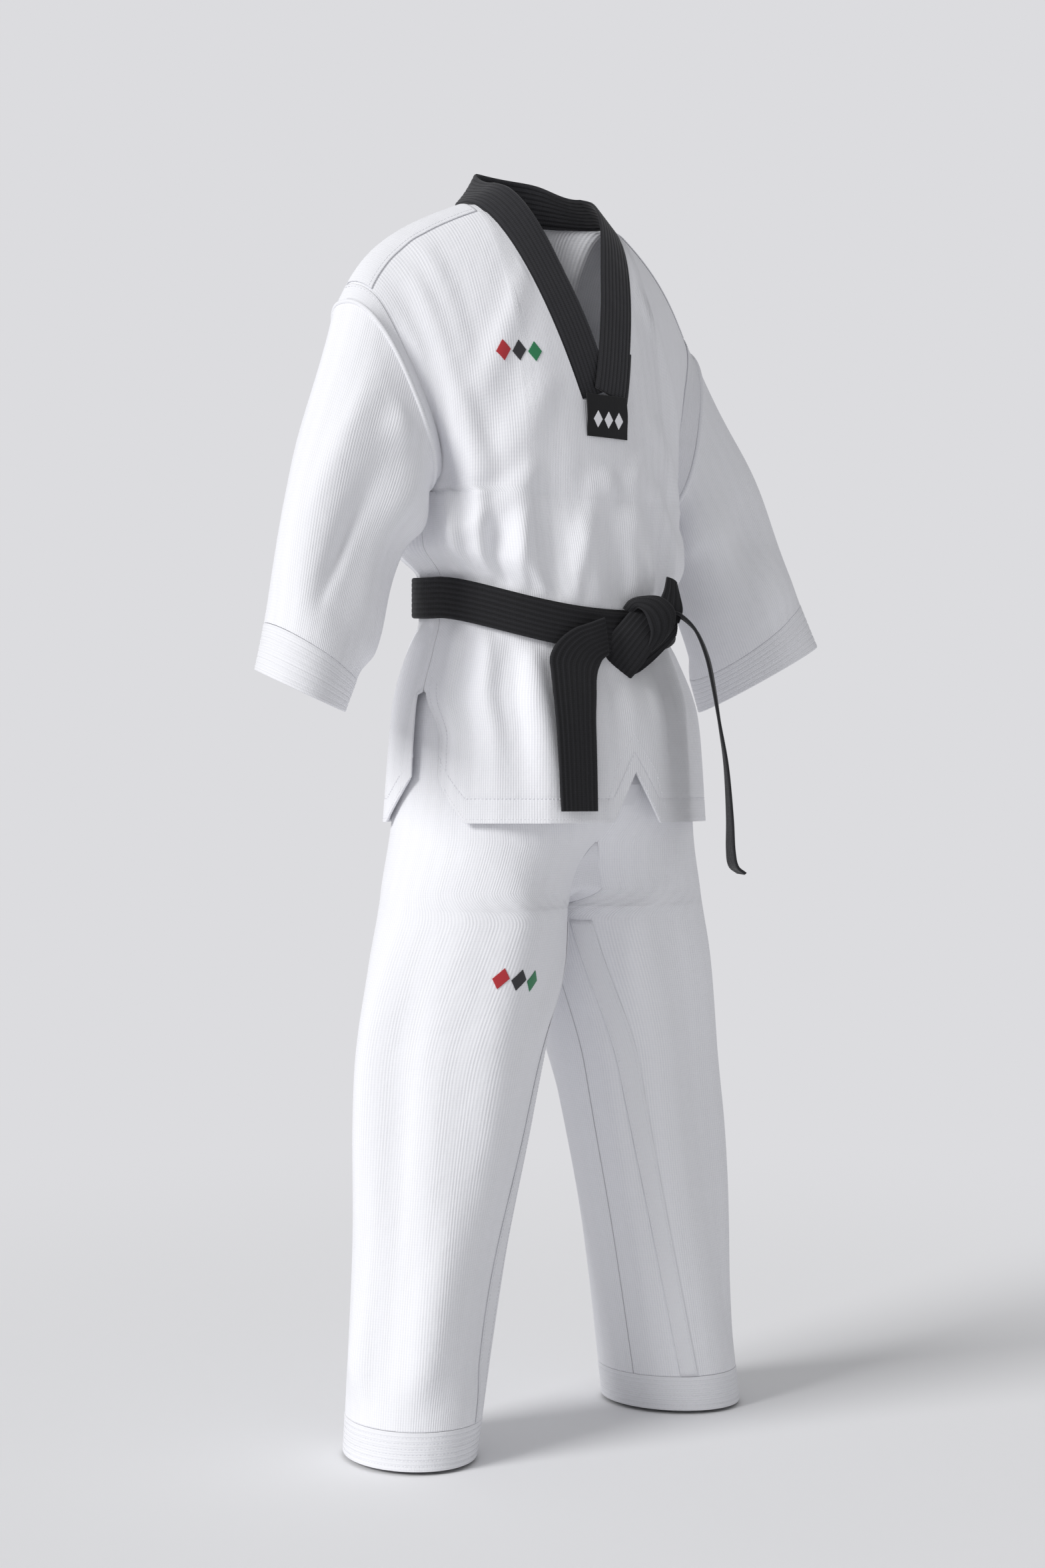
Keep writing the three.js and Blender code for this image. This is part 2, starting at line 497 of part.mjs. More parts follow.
// ---------------------------------------------------------------- trousers
// One side of the trousers at a height. u goes from the front seam (0) outside round to the back seam (1).
function leg(side, u, z) {
  const splay = side > 0 ? LEFT_SPLAY * clamp((CROTCH - z) / (CROTCH - TROUSER_HEM), 0, 1) : 0;
  const centre = between(LEG, 'centre', z) + splay;
  const width = between(LEG, 'width', z);
  const depth = between(LEG, 'depth', z);
  const open = Math.acos(clamp((centre - SEAM) / width, -1, 1));
  const turn = open + (2 * Math.PI - 2 * open) * u;
  const dx = -width * Math.cos(turn);
  const dy = -depth * Math.sin(turn);
  const toe = TOE_OUT * RAD * smooth(clamp((CROTCH - z) / 200, 0, 1));
  const x = centre + dx * Math.cos(toe) - dy * Math.sin(toe);
  const y = dx * Math.sin(toe) + dy * Math.cos(toe);
  return [Math.max(x, SEAM), y, z];
}
function trousers(side, u, z) {
  const ease = lerp(EASE, WAIST_EASE + 2, smooth(clamp((z + 500) / 50, 0, 1)));
  const body = torso(u * 180, Math.max(z, HEM.z), ease);
  const part = smooth(clamp((BLEND_TOP - z) / (BLEND_TOP - CROTCH), 0, 1)) ** 1.4;
  const point = mix([Math.max(body[0], SEAM), body[1], z < HEM.z ? z : body[2]], leg(side, u, z), part);
  return [side * point[0], point[1], point[2]];
}
const EDGE = 0.0008; // the seams' edges stay a hair apart
const SEAM_TAPE = 0.03;
const HALF_ROUND = [EDGE, SEAM_TAPE, ...span(0.09, 0.91, 14), 1 - SEAM_TAPE, 1 - EDGE];
const FULL_ROUND = span(0, 1, 20);
const GUSSET = { top: -702, wide: 0.085, widest: -756, fold: 12, share: 0.92 };
const LEG_TAPE = { top: 0.055, hem: 0.115, wide: 0.04 }; // the inner panel's seam, by its place round the leg
function gussetReach(z) {
  if (z > GUSSET.top) return EDGE;
  if (z > GUSSET.widest) return lerp(EDGE, GUSSET.wide, (GUSSET.top - z) / (GUSSET.top - GUSSET.widest));
  return lerp(GUSSET.wide, EDGE, smooth(clamp((GUSSET.widest - z) / (GUSSET.widest - LEG_TOP), 0, 1)));
}
const WAIST_TOP_LEVEL = WAIST_TOP.z - 2;
const WAISTBAND_FOOT = WAIST_TOP_LEVEL - WAISTBAND_HEIGHT;
const ring = (angle, level) => torso(angle, level, WAIST_EASE);
const bandRows = [WAISTBAND_FOOT, WAIST_TOP_LEVEL];
shell('trouser_waistband', SHADE, ring, BELT_ROUND, bandRows, -CLOTH / 2, CLOTH / 2, { loop: true });
shell('waist_elastic', SHADE, ring, BELT_ROUND, [WAISTBAND_FOOT + 4, WAIST_TOP_LEVEL - 4],
  -CLOTH / 2 - GAP - 1.4, -CLOTH / 2 - GAP, { loop: true });

for (const [label, side] of [['right', -1], ['left', 1]]) {
  const point = (u, z) => trousers(side, u, z);
  const whole = [-CLOTH / 2, CLOTH / 2];
  const outside = [side * (CLOTH / 2 + GAP), side * (CLOTH / 2 + GAP + TAPE)];
  const hipRows = [THIGH_TOP, -640, BLEND_TOP, -540, -500, WAISTBAND_FOOT - SEAM];
  shell(`${label}_hip_panel`, WHITE, point, HALF_ROUND, hipRows, ...whole);
  const thighColumns = [0, ...span(0.09, 0.91, 14), 1];
  if (side < 0) thighColumns.reverse();
  const inset = (u, z) => {
    const reach = gussetReach(z);
    const share = u <= 0.09 ? lerp(reach, Math.max(0.1, reach + 0.02), u / 0.09)
      : u >= 0.91 ? lerp(1 - Math.max(0.1, reach + 0.02), 1 - reach, (u - 0.91) / 0.09) : u;
    return point(share, z);
  };
  shell(`${label}_thigh`, WHITE, inset, thighColumns,
    [LEG_TOP + SEAM, -774, GUSSET.widest, -729, GUSSET.top, THIGH_TOP - SEAM], ...whole);
  const legRows = [TROUSER_HEM + HEM_BAND + 0.5, -1250, -1150, -1050, -950, -860, LEG_TOP];
  shell(`${label}_leg`, WHITE, point, FULL_ROUND, legRows, ...whole, { loop: true });
  shell(`${label}_hem_band`, SHADE, point, FULL_ROUND, [TROUSER_HEM, TROUSER_HEM + HEM_BAND],
    -CUFF_THICK / 2, CUFF_THICK / 2, { loop: true });
  const up = (z) => (z - TROUSER_HEM) / (LEG_TOP - TROUSER_HEM);
  const slanted = (w, z) => point(lerp(LEG_TAPE.hem, LEG_TAPE.top, up(z)) + w, z);
  shell(`${label}_leg_seam_tape`, SHADE, slanted, [0, LEG_TAPE.wide / 2, LEG_TAPE.wide], legRows, ...outside);
}

// Tapes over the front and back seams of the trousers, above the gusset.
const riseRows = [THIGH_TOP + 2, -640, BLEND_TOP, -540, -500, WAISTBAND_FOOT - 1.5];
for (const [label, back] of [['front', false], ['back', true]]) {
  const point = (s, z) => {
    const edge = EDGE + Math.abs(s) * (SEAM_TAPE - EDGE);
    const found = trousers(Math.sign(s) || 1, back ? 1 - edge : edge, z);
    return s === 0 ? [0, found[1], found[2]] : found;
  };
  const faces = [CLOTH / 2 + OVER_SEAM, CLOTH / 2 + OVER_SEAM + TAPE];
  shell(`${label}_rise_tape`, SHADE, point, [-1, 0, 1], riseRows, ...faces, { side: back ? -1 : 1 });
}

// The crotch gusset: a long diamond of cloth let in between the thighs, from the front seam to the back seam.
const DOWN = [GUSSET.top, -729, GUSSET.widest, -774, LEG_TOP + SEAM];
const GUSSET_LINE = [...DOWN.map((z) => [z, false]), ...[...DOWN].reverse().map((z) => [z, true])];
function gussetPoint(q, s) {
  const index = clamp(Math.floor(q), 0, GUSSET_LINE.length - 2);
  const [from, to] = [index, index + 1].map((i) => {
    const [z, back] = GUSSET_LINE[i];
    const reach = gussetReach(z);
    const edge = trousers(Math.sign(s) || 1, back ? 1 - reach : reach, z);
    const depth = clamp((GUSSET.top - z) / (GUSSET.top - LEG_TOP), 0, 1);
    return mix([0, edge[1], edge[2] + GUSSET.fold * depth ** 2], edge, Math.abs(s) * GUSSET.share);
  });
  return mix(from, to, q - index);
}
const GUSSET_STATIONS = [0.35, 1, 2, 3, 3.8, 5.2, 6, 7, 8, 8.65];
shell('crotch_gusset', WHITE, gussetPoint, GUSSET_STATIONS, [-1, -0.5, 0, 0.5, 1], -CLOTH / 4, CLOTH / 4);

export default uniform;
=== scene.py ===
# %% [markdown]
# # A martial arts uniform, dressed on an unseen wearer
# The uniform is a white pullover jacket with a black V collar, a tied black belt and wide white trousers.
# Its sizes and its moving bodies come from a CAD model. This lesson gives that model its cloth: each panel is
# rebuilt as a thin, finely divided sheet with folds, stitched bands, tapes, threads and woven finishes.

# %% Load the frame
import json
import math

import bpy
import numpy as np
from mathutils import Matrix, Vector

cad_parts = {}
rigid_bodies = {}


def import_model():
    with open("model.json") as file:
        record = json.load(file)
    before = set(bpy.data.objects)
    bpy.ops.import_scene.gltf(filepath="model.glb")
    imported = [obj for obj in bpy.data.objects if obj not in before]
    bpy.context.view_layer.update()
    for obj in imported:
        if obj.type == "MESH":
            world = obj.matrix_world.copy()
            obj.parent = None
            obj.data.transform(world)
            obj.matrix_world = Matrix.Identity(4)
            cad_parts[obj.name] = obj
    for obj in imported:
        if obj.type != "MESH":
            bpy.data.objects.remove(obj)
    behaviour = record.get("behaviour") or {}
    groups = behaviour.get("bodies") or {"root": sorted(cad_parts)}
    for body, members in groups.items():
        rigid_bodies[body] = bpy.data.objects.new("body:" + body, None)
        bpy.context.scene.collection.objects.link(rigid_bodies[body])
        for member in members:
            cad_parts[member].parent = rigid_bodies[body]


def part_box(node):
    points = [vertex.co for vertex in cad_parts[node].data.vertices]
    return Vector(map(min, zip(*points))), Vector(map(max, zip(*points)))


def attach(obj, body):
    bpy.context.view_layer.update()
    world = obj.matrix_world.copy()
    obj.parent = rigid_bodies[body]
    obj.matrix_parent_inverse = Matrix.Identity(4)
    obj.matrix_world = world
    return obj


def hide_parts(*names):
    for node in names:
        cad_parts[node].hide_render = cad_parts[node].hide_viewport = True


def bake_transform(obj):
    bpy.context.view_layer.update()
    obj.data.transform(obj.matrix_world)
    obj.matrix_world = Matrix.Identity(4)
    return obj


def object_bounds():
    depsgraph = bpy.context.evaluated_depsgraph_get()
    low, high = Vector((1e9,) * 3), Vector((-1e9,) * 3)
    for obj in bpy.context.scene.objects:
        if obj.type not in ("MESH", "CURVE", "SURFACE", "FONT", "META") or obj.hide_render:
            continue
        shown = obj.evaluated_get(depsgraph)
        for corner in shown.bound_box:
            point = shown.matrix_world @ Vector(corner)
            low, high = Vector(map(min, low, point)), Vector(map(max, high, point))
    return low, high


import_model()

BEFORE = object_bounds()
MM = 0.001
scene = bpy.context.scene

# %% [markdown]
# ## The camera
# The camera stands 2.8 m away at hip height, 40 degrees round to the wearer's right, with a short telephoto
# lens. It looks level, so upright edges stay upright. It is made first, because every later look depends on it.

# %% Camera
TURN = math.radians(-40.0)
TOWARDS = np.array([math.sin(TURN), -math.cos(TURN), 0.0])  # from the object to the camera
ACROSS = np.array([math.cos(TURN), math.sin(TURN), 0.0])  # to the right in the view
DISTANCE = 2.8
EYE_LEVEL = -0.64
ASIDE = 0.023
camera_data = bpy.data.cameras.new("camera")
camera_data.lens = 57.0
camera_data.clip_end = 200.0
camera = bpy.data.objects.new("camera", camera_data)
scene.collection.objects.link(camera)
camera.location = TOWARDS * DISTANCE - ACROSS * ASIDE + np.array([0, 0, EYE_LEVEL])
camera.rotation_euler = (math.radians(90), 0, TURN)
scene.camera = camera
scene.view_settings.view_transform = "Standard"

# %% [markdown]
# ## Floor and light
# White cloth only reads as white against something a little darker, so the floor and the far background share
# one pale grey. A soft, wide sun from the left front models the folds, and an even sky keeps the shade cool.

# %% Colour, floor and light


def linear(hex_colour):
    """sRGB hex to linear RGBA: a channel c becomes c / 12.92 below 0.04 and ((c + 0.055) / 1.055)^2.4 above."""
    parts = [int(hex_colour[i:i + 2], 16) / 255 for i in (1, 3, 5)]
    return [p / 12.92 if p <= 0.04045 else ((p + 0.055) / 1.055) ** 2.4 for p in parts] + [1.0]


def node(tree, kind, links=(), **settings):
    """Adds a node of that kind: links are (input, value or socket), and settings are its own properties."""
    made = tree.nodes.new(kind)
    for key, value in settings.items():
        setattr(made, key, value)
    for socket, value in links:
        if isinstance(value, bpy.types.NodeSocket):
            tree.links.new(value, made.inputs[socket])
        else:
            made.inputs[socket].default_value = value
    return made


SKY = 0.41
SKY_TINT = (0.985, 0.99, 1.0, 1)
SUN, SUN_SPREAD = 2.15, math.radians(24)
BACKGROUND, PAPER = "#dcdcdf", "#f6f6f8"
FLOOR_LEVEL = BEFORE[0][2] - 0.004
FLOOR_RADIUS = 60.0
FADE_NEAR, FADE_FAR = 0.5, 2.2
world = bpy.data.worlds.new("sky")
scene.world = world
world.use_nodes = True
tree = world.node_tree
tree.nodes.clear()
rays = node(tree, "ShaderNodeLightPath")
seen = node(tree, "ShaderNodeBackground", [("Color", linear(BACKGROUND)), ("Strength", 1.0)])
lit = node(tree, "ShaderNodeBackground", [("Color", SKY_TINT), ("Strength", SKY)])
both = node(tree, "ShaderNodeMixShader", [
    (0, rays.outputs["Is Camera Ray"]), (1, lit.outputs[0]), (2, seen.outputs[0])])
node(tree, "ShaderNodeOutputWorld", [("Surface", both.outputs[0])])

floor_mesh = bpy.data.meshes.new("floor")
around = np.linspace(0, 2 * np.pi, 97)[:-1]
rim = np.stack([np.cos(around), np.sin(around), around * 0], 1) * FLOOR_RADIUS
rim[:, 2] = FLOOR_LEVEL
floor_mesh.from_pydata(rim.tolist(), [], [list(range(len(rim)))])
floor = bpy.data.objects.new("floor", floor_mesh)
scene.collection.objects.link(floor)
paper = bpy.data.materials.new("pale_studio_paper")
paper.use_nodes = True
tree = paper.node_tree
matt = tree.nodes["Principled BSDF"]
matt.inputs["Base Color"].default_value = linear(PAPER)
matt.inputs["Roughness"].default_value = 1.0
matt.inputs["Specular IOR Level"].default_value = 0.0
# the paper fades into the background's own colour, by smoothstep of the distance from FADE_NEAR to FADE_FAR
spot = node(tree, "ShaderNodeTexCoord")
flat_spot = node(tree, "ShaderNodeVectorMath", [(0, spot.outputs["Object"]), (1, (1, 1, 0))],
                 operation="MULTIPLY")
away = node(tree, "ShaderNodeVectorMath", [(0, flat_spot.outputs[0])], operation="LENGTH")
fade = node(tree, "ShaderNodeMapRange", [(0, away.outputs["Value"]), (1, FADE_NEAR), (2, FADE_FAR)],
            interpolation_type="SMOOTHSTEP")
glow = node(tree, "ShaderNodeEmission", [("Color", linear(BACKGROUND)), ("Strength", 1.0)])
blend = node(tree, "ShaderNodeMixShader", [(0, fade.outputs[0]), (1, matt.outputs[0]), (2, glow.outputs[0])])
tree.links.new(blend.outputs[0], tree.nodes["Material Output"].inputs["Surface"])
floor_mesh.materials.append(paper)

sun_data = bpy.data.lights.new("window_light", "SUN")
sun_data.energy = SUN
sun_data.angle = SUN_SPREAD
sun = bpy.data.objects.new("window_light", sun_data)
scene.collection.objects.link(sun)
toward_light = TOWARDS * 0.60 - ACROSS * 0.80 + np.array([0, 0, 0.55])
sun.rotation_euler = (
    math.atan2(math.hypot(toward_light[0], toward_light[1]), toward_light[2]), 0,
    math.atan2(toward_light[0], -toward_light[1]))
print("floor at", round(FLOOR_LEVEL, 3))

# %% [markdown]
# ## Small tools
# Every sheet of cloth is a function of two parameters. `cloth` samples such a function on a grid, offsets it to
# both faces along its normal, closes the rim and stores a UV map in metres, so that a weave has its real size.

# %% Number tools


def smooth(x):
    """Smoothstep: 3x^2 - 2x^3 of x held between 0 and 1."""
    x = np.clip(x, 0, 1)
    return x * x * (3 - 2 * x)


def power(x, exponent):
    """Power of the absolute value that keeps the sign."""
    return np.sign(x) * np.abs(x) ** exponent


def lerp(a, b, k):
    """A plain blend: a where k is 0, b where k is 1."""
    return a + (b - a) * k


def bump(x, width):
    """A bell: exp(-(x / width)^2)."""
    return np.exp(-(x / width) ** 2)


def vector(x, y, z):
    """Stacks three arrays, or numbers, into points."""
    return np.stack(np.broadcast_arrays(x, y, z), -1).astype(float)


def unit(v):
    """v over its length, with a guard against a length of nought."""
    return v / np.maximum(np.linalg.norm(v, axis=-1, keepdims=True), 1e-9)


def between(stations, column, at):
    """Monotone cubic through stations (rows sorted by height): no overshoot, flat where the slope turns."""
    rows = np.array(sorted(stations))
    x, y = rows[:, 0], rows[:, column]
    slope = np.diff(y) / np.diff(x)
    inner = np.where(slope[:-1] * slope[1:] <= 0, 0, 2 * slope[:-1] * slope[1:] / np.where(
        slope[:-1] + slope[1:] == 0, 1, slope[:-1] + slope[1:]))
    bend = np.concatenate([[slope[0]], inner, [slope[-1]]])
    at = np.clip(at, x[0], x[-1])
    i = np.clip(np.searchsorted(x, at, side="left") - 1, 0, len(x) - 2)
    step = x[i + 1] - x[i]
    t = (at - x[i]) / step
    return (y[i] * (2 * t**3 - 3 * t**2 + 1) + step * bend[i] * (t**3 - 2 * t**2 + t)
            + y[i + 1] * (3 * t**2 - 2 * t**3) + step * bend[i + 1] * (t**3 - t**2))


def steps(low, high, count, edge=0.0):
    """Even steps from low to high, with one extra step close to each end where edge is above nought."""
    even = np.linspace(low, high, count + 1)
    if edge:
        sign = 1 if high > low else -1
        even = np.concatenate([[low], [low + sign * edge], even[1:-1], [high - sign * edge], [high]])
    return even


# %% The cloth maker
RIGHT, LEFT = -1, 1
SIDES = (("right", RIGHT), ("left", LEFT))
CUT_ALLOWANCE = 1.12  # a piece is cut this much larger than it hangs, for its fullness and its seams


def mesh_object(name, points, quads, corner_uv, material):
    """Puts points (mm), four-cornered faces and a UV for each corner into a new smooth mesh object."""
    a, b, c, d = (points[quads[:, k]] for k in range(4))
    volume = (np.einsum("ij,ij->i", a, np.cross(b, c)) + np.einsum("ij,ij->i", a, np.cross(c, d))).sum()
    if volume < 0:
        quads = quads[:, ::-1]
        corner_uv = corner_uv[:, ::-1]
    mesh = bpy.data.meshes.new(name)
    mesh.vertices.add(len(points))
    mesh.vertices.foreach_set("co", (points * MM).astype(np.float32).ravel())
    mesh.loops.add(quads.size)
    mesh.loops.foreach_set("vertex_index", quads.astype(np.int32).ravel())
    mesh.polygons.add(len(quads))
    mesh.polygons.foreach_set("loop_start", np.arange(0, quads.size, 4, dtype=np.int32))
    mesh.polygons.foreach_set("use_smooth", np.ones(len(quads), bool))
    layer = mesh.uv_layers.new(name="cloth")
    layer.data.foreach_set("uv", corner_uv.astype(np.float32).ravel())
    mesh.update(calc_edges=True)
    mesh.validate()
    mesh.materials.append(material)
    made = bpy.data.objects.new(name, mesh)
    scene.collection.objects.link(made)
    return made


def cloth(name, surface, us, vs, low, high, material, loop=False, turned=False):
    """A closed sheet between the offsets low and high (mm) of surface(U, V) along its normal, on a grid us x vs.
    An offset is a number or a function of (U, V). UV: the mean arc length along each parameter, in metres,
    swapped where turned. Where loop, the last line of us is the first one again."""
    U, V = np.meshgrid(us, vs, indexing="ij")
    small_u, small_v = 1e-4 * np.ptp(us), 1e-4 * np.ptp(vs)
    middle = surface(U, V)
    normal = unit(np.cross(surface(U + small_u, V) - surface(U - small_u, V),
                           surface(U, V + small_v) - surface(U, V - small_v)))
    along_u = np.linalg.norm(np.diff(middle, axis=0), axis=-1).mean(1)
    along_v = np.linalg.norm(np.diff(middle, axis=1), axis=-1).mean(0)
    length_u = np.concatenate([[0], np.cumsum(along_u)]) * MM
    length_v = np.concatenate([[0], np.cumsum(along_v)]) * MM
    layers = [middle + normal * (reach(U, V)[..., None] if callable(reach) else reach)
              for reach in (high, low)]
    wide, rows = middle.shape[0] - (1 if loop else 0), middle.shape[1]
    points = np.concatenate([layer[:wide].reshape(-1, 3) for layer in layers])
    count = wide * rows
    cells = wide if loop else wide - 1
    I, J = (g.ravel() for g in np.meshgrid(np.arange(cells), np.arange(rows - 1), indexing="ij"))
    corners = [(I, J), (I + 1, J), (I + 1, J + 1), (I, J + 1)]
    face = np.stack([(i % wide) * rows + j for i, j in corners], 1)
    uv = np.stack([np.stack([length_u[i], length_v[j]], 1) for i, j in corners], 1)
    quads, uvs = [face, face[:, ::-1] + count], [uv, uv[:, ::-1]]

    def rim_of(line, line_uv):
        """A strip of quads that joins the two layers along a line of grid points."""
        first, second = line[:-1], line[1:]
        quads.append(np.stack([first, first + count, second + count, second], 1))
        uvs.append(np.stack([line_uv[:-1], line_uv[:-1], line_uv[1:], line_uv[1:]], 1))

    i_all = np.arange(cells + 1)
    rim_of((i_all % wide) * rows, np.stack([length_u[i_all], i_all * 0.0], 1))
    rim_of(((i_all % wide) * rows + rows - 1)[::-1],
           np.stack([length_u[i_all], i_all * 0 + length_v[-1]], 1)[::-1])
    if not loop:
        j_all = np.arange(rows)
        rim_of(j_all[::-1], np.stack([j_all * 0.0, length_v], 1)[::-1])
        rim_of((wide - 1) * rows + j_all, np.stack([j_all * 0 + length_u[-1], length_v], 1))
    corner_uv = np.concatenate(uvs)
    if turned:
        corner_uv = corner_uv[..., ::-1]
    made = mesh_object(name, points, np.concatenate(quads), corner_uv, material)
    area = float((np.linalg.norm(np.diff(middle, axis=0)[:, 1:], axis=-1)
                  * np.linalg.norm(np.diff(middle, axis=1)[1:], axis=-1)).sum()) * 1e-6
    made["flat"] = [float(length_u[-1]) * CUT_ALLOWANCE, float(length_v[-1]) * CUT_ALLOWANCE, area]
    return made


def banded(count, thick, depth):
    """Half a band's thickness at each place across it, 0 to 1: rounded at the edges, less each row's groove."""
    def half(place):
        edge = np.clip(1 - np.abs(place * 2 - 1) ** 24, 0.25, 1)
        return thick / 2 * edge + rows_of_stitching(place, count, depth)
    return half


def band_cloth(name, surface, us, vs, half, material, loop=False):
    """A band of cloth whose half thickness is half(v), with its weave turned to run along it."""
    return cloth(name, surface, us, vs, lambda U, V: -half(V), lambda U, V: half(V), material, loop=loop,
                 turned=True)


def rows_of_stitching(place, count, depth):
    """Grooves that part a band into count strips: depth times a narrow bell at each. place runs from 0 to 1."""
    phase = (place * count) % 1 - 0.5
    return -depth * (np.exp(-(np.abs(phase) - 0.5) ** 2 / 0.012))


def dress(piece, slot, body, *nodes):
    """The piece's finish, slot, is not used; the piece is parented to the body it rides on, and the CAD nodes it
    stands for are hidden.
    """
    if body:
        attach(piece, body)
    if nodes:
        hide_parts(*nodes)
    return piece


# %% [markdown]
# ## Finishes
# The white cloth is a ribbed cotton and polyester twill: fine upright ribs crossed by a small diamond, almost
# matt, with a faint fuzz that lights its edges. The tapes and quilted bands are the same yarn woven plain.
# The belt and the collar are black cotton twill, which looks charcoal where light rakes over the stitch rows.
# Every weave's hollows are painted darker as painted shade, and the black cloths' charcoal ridges are a painted
# highlight.

# %% Materials
RIB, DIAMOND = 0.0031, 0.0054  # the periods of the ribs and of the small diamond, drawn coarse enough to show
STRAP_WIDTH, STRIPS = 0.045, 8  # the belt and the collar, in metres, and the strips that their stitching makes


def woven(name, colour, shade, rib, diamond, depth, roughness, sheen, tone=0.06, ridge_share=0.6):
    """A cloth whose height is ridge_share of a rib wave, the rest of a diamond wave, and noise. shade is the
    hollow's colour, a painted shade, and colour the ridge's, which on the black cloths is a painted highlight.
    rib and diamond are periods in metres on the cloth's own UV map."""
    material = bpy.data.materials.new(name)
    material.use_nodes = True
    tree = material.node_tree
    shader = tree.nodes["Principled BSDF"]
    uv = node(tree, "ShaderNodeUVMap", uv_map="cloth")
    split = node(tree, "ShaderNodeSeparateXYZ", [(0, uv.outputs[0])])

    def maths(operation, first, second=0.0):
        """One step of arithmetic on two numbers or sockets."""
        return node(tree, "ShaderNodeMath", [(0, first), (1, second)], operation=operation).outputs[0]

    ribs = maths("SINE", maths("MULTIPLY", split.outputs[0], 2 * math.pi / rib))
    rising = maths("MULTIPLY", maths("ADD", split.outputs[0], split.outputs[1]), 2 * math.pi / diamond)
    falling = maths("MULTIPLY", maths("SUBTRACT", split.outputs[0], split.outputs[1]), 2 * math.pi / diamond)
    cross = maths("MULTIPLY", maths("SINE", rising), maths("SINE", falling))
    place = node(tree, "ShaderNodeTexCoord")
    crumple = node(tree, "ShaderNodeTexNoise", [
        ("Vector", place.outputs["Object"]), ("Scale", 22.0), ("Detail", 3.0)])
    yarn = node(tree, "ShaderNodeTexNoise", [
        ("Vector", place.outputs["Object"]), ("Scale", 900.0), ("Detail", 2.0)])
    weave = maths("ADD", maths("MULTIPLY", ribs, ridge_share), maths("MULTIPLY", cross, 1 - ridge_share))
    height = maths("ADD", maths("MULTIPLY", weave, 0.5), maths("MULTIPLY", yarn.outputs["Fac"], 0.35))
    fine = node(tree, "ShaderNodeBump", [("Strength", 0.8), ("Distance", depth), ("Height", height)])
    soft = node(tree, "ShaderNodeBump", [
        ("Strength", 0.35), ("Distance", 0.006), ("Height", crumple.outputs["Fac"]),
        ("Normal", fine.outputs[0])])
    # painted shade and highlight: the weave's hollows are painted darker and its ridges lighter; the yarn noise
    # adds a random tone on top
    weave_shade_mask = maths("ADD", maths("MULTIPLY", weave, 0.35), 0.62)
    weave_shade_and_yarn_tone = maths("ADD", weave_shade_mask, maths("MULTIPLY", maths("SUBTRACT", yarn.outputs["Fac"], 0.5), tone * 4))
    ramp = node(tree, "ShaderNodeMix", [(0, weave_shade_and_yarn_tone), (6, linear(shade)), (7, linear(colour))],
                data_type="RGBA")
    tree.links.new(ramp.outputs[2], shader.inputs["Base Color"])
    tree.links.new(soft.outputs[0], shader.inputs["Normal"])
    shader.inputs["Roughness"].default_value = roughness
    shader.inputs["Specular IOR Level"].default_value = 0.25
    shader.inputs["Sheen Weight"].default_value = sheen
    shader.inputs["Sheen Roughness"].default_value = 0.4
    return material


# each pair is the ridge's colour and the hollow's painted shade; on the black belt, collar and label the ridge
# colour is also a painted highlight
TWILL = woven("ribbed_cotton_polyester_twill", "#f6f6f9", "#e2e3e9", RIB, DIAMOND, 0.0004, 0.88, 0.12)
GUSSET_TWILL = woven("diagonal_twill", "#f1f1f5", "#d9dae1", 0.0044, 0.0044, 0.0004, 0.9, 0.1, 0.05, 0.1)
TAPE = woven("plain_woven_cotton_tape", "#f4f4f7", "#e0e1e7", 0.0022, 0.0030, 0.0003, 0.9, 0.1, 0.05, 0.3)
QUILTED = woven("row_stitched_cotton_band", "#f4f4f7", "#dddee4", 0.0026, 0.0034, 0.0004, 0.9, 0.1, 0.06, 0.4)
ROW = STRAP_WIDTH / STRIPS
BELT = woven("row_stitched_black_cotton", "#29292c", "#050506", ROW, 0.0040, 0.0006, 0.8, 0.12, 0.14, 0.62)
COLLAR = woven("black_jacquard_twill", "#38383c", "#0d0d0f", ROW, 0.0046, 0.0005, 0.78, 0.2, 0.12, 0.5)
LABEL = woven("woven_black_satin", "#1b1b1e", "#0e0e10", 0.0012, 0.0018, 0.0001, 0.45, 0.1, 0.03)
WHITE_LABEL = woven("woven_white_satin", "#f7f7f8", "#e8e8ea", 0.0012, 0.0018, 0.0001, 0.5, 0.1, 0.03)
ELASTIC = woven("braided_elastic_tape", "#eeeef0", "#c9c9ce", 0.0040, 0.0030, 0.0006, 0.75, 0.1, 0.05)


def thread(name, colour):
    """Sewing thread: spun polyester, softly shiny and all one colour."""
    material = bpy.data.materials.new(name)
    material.use_nodes = True
    shader = material.node_tree.nodes["Principled BSDF"]
    shader.inputs["Base Color"].default_value = linear(colour)
    shader.inputs["Roughness"].default_value = 0.6
    shader.inputs["Sheen Weight"].default_value = 0.2
    return material


WHITE_THREAD = thread("white_polyester_thread", "#eeeef2")
RED_THREAD = thread("red_embroidery_thread", "#b3262e")
GREEN_THREAD = thread("green_embroidery_thread", "#1e7a4c")
DARK_THREAD = thread("charcoal_embroidery_thread", "#26262b")
print("materials:", len(bpy.data.materials))

# %% [markdown]
# ## The jacket's shape
# The body is a rounded-square tube that narrows under the belt; its levels tip forward with the belt. Above the
# armpits each column of cloth rises to the shoulder seam, and its edge follows the armhole. These are the CAD
# model's own formulas, worked on whole arrays, so that every new sheet lies where its solid does.

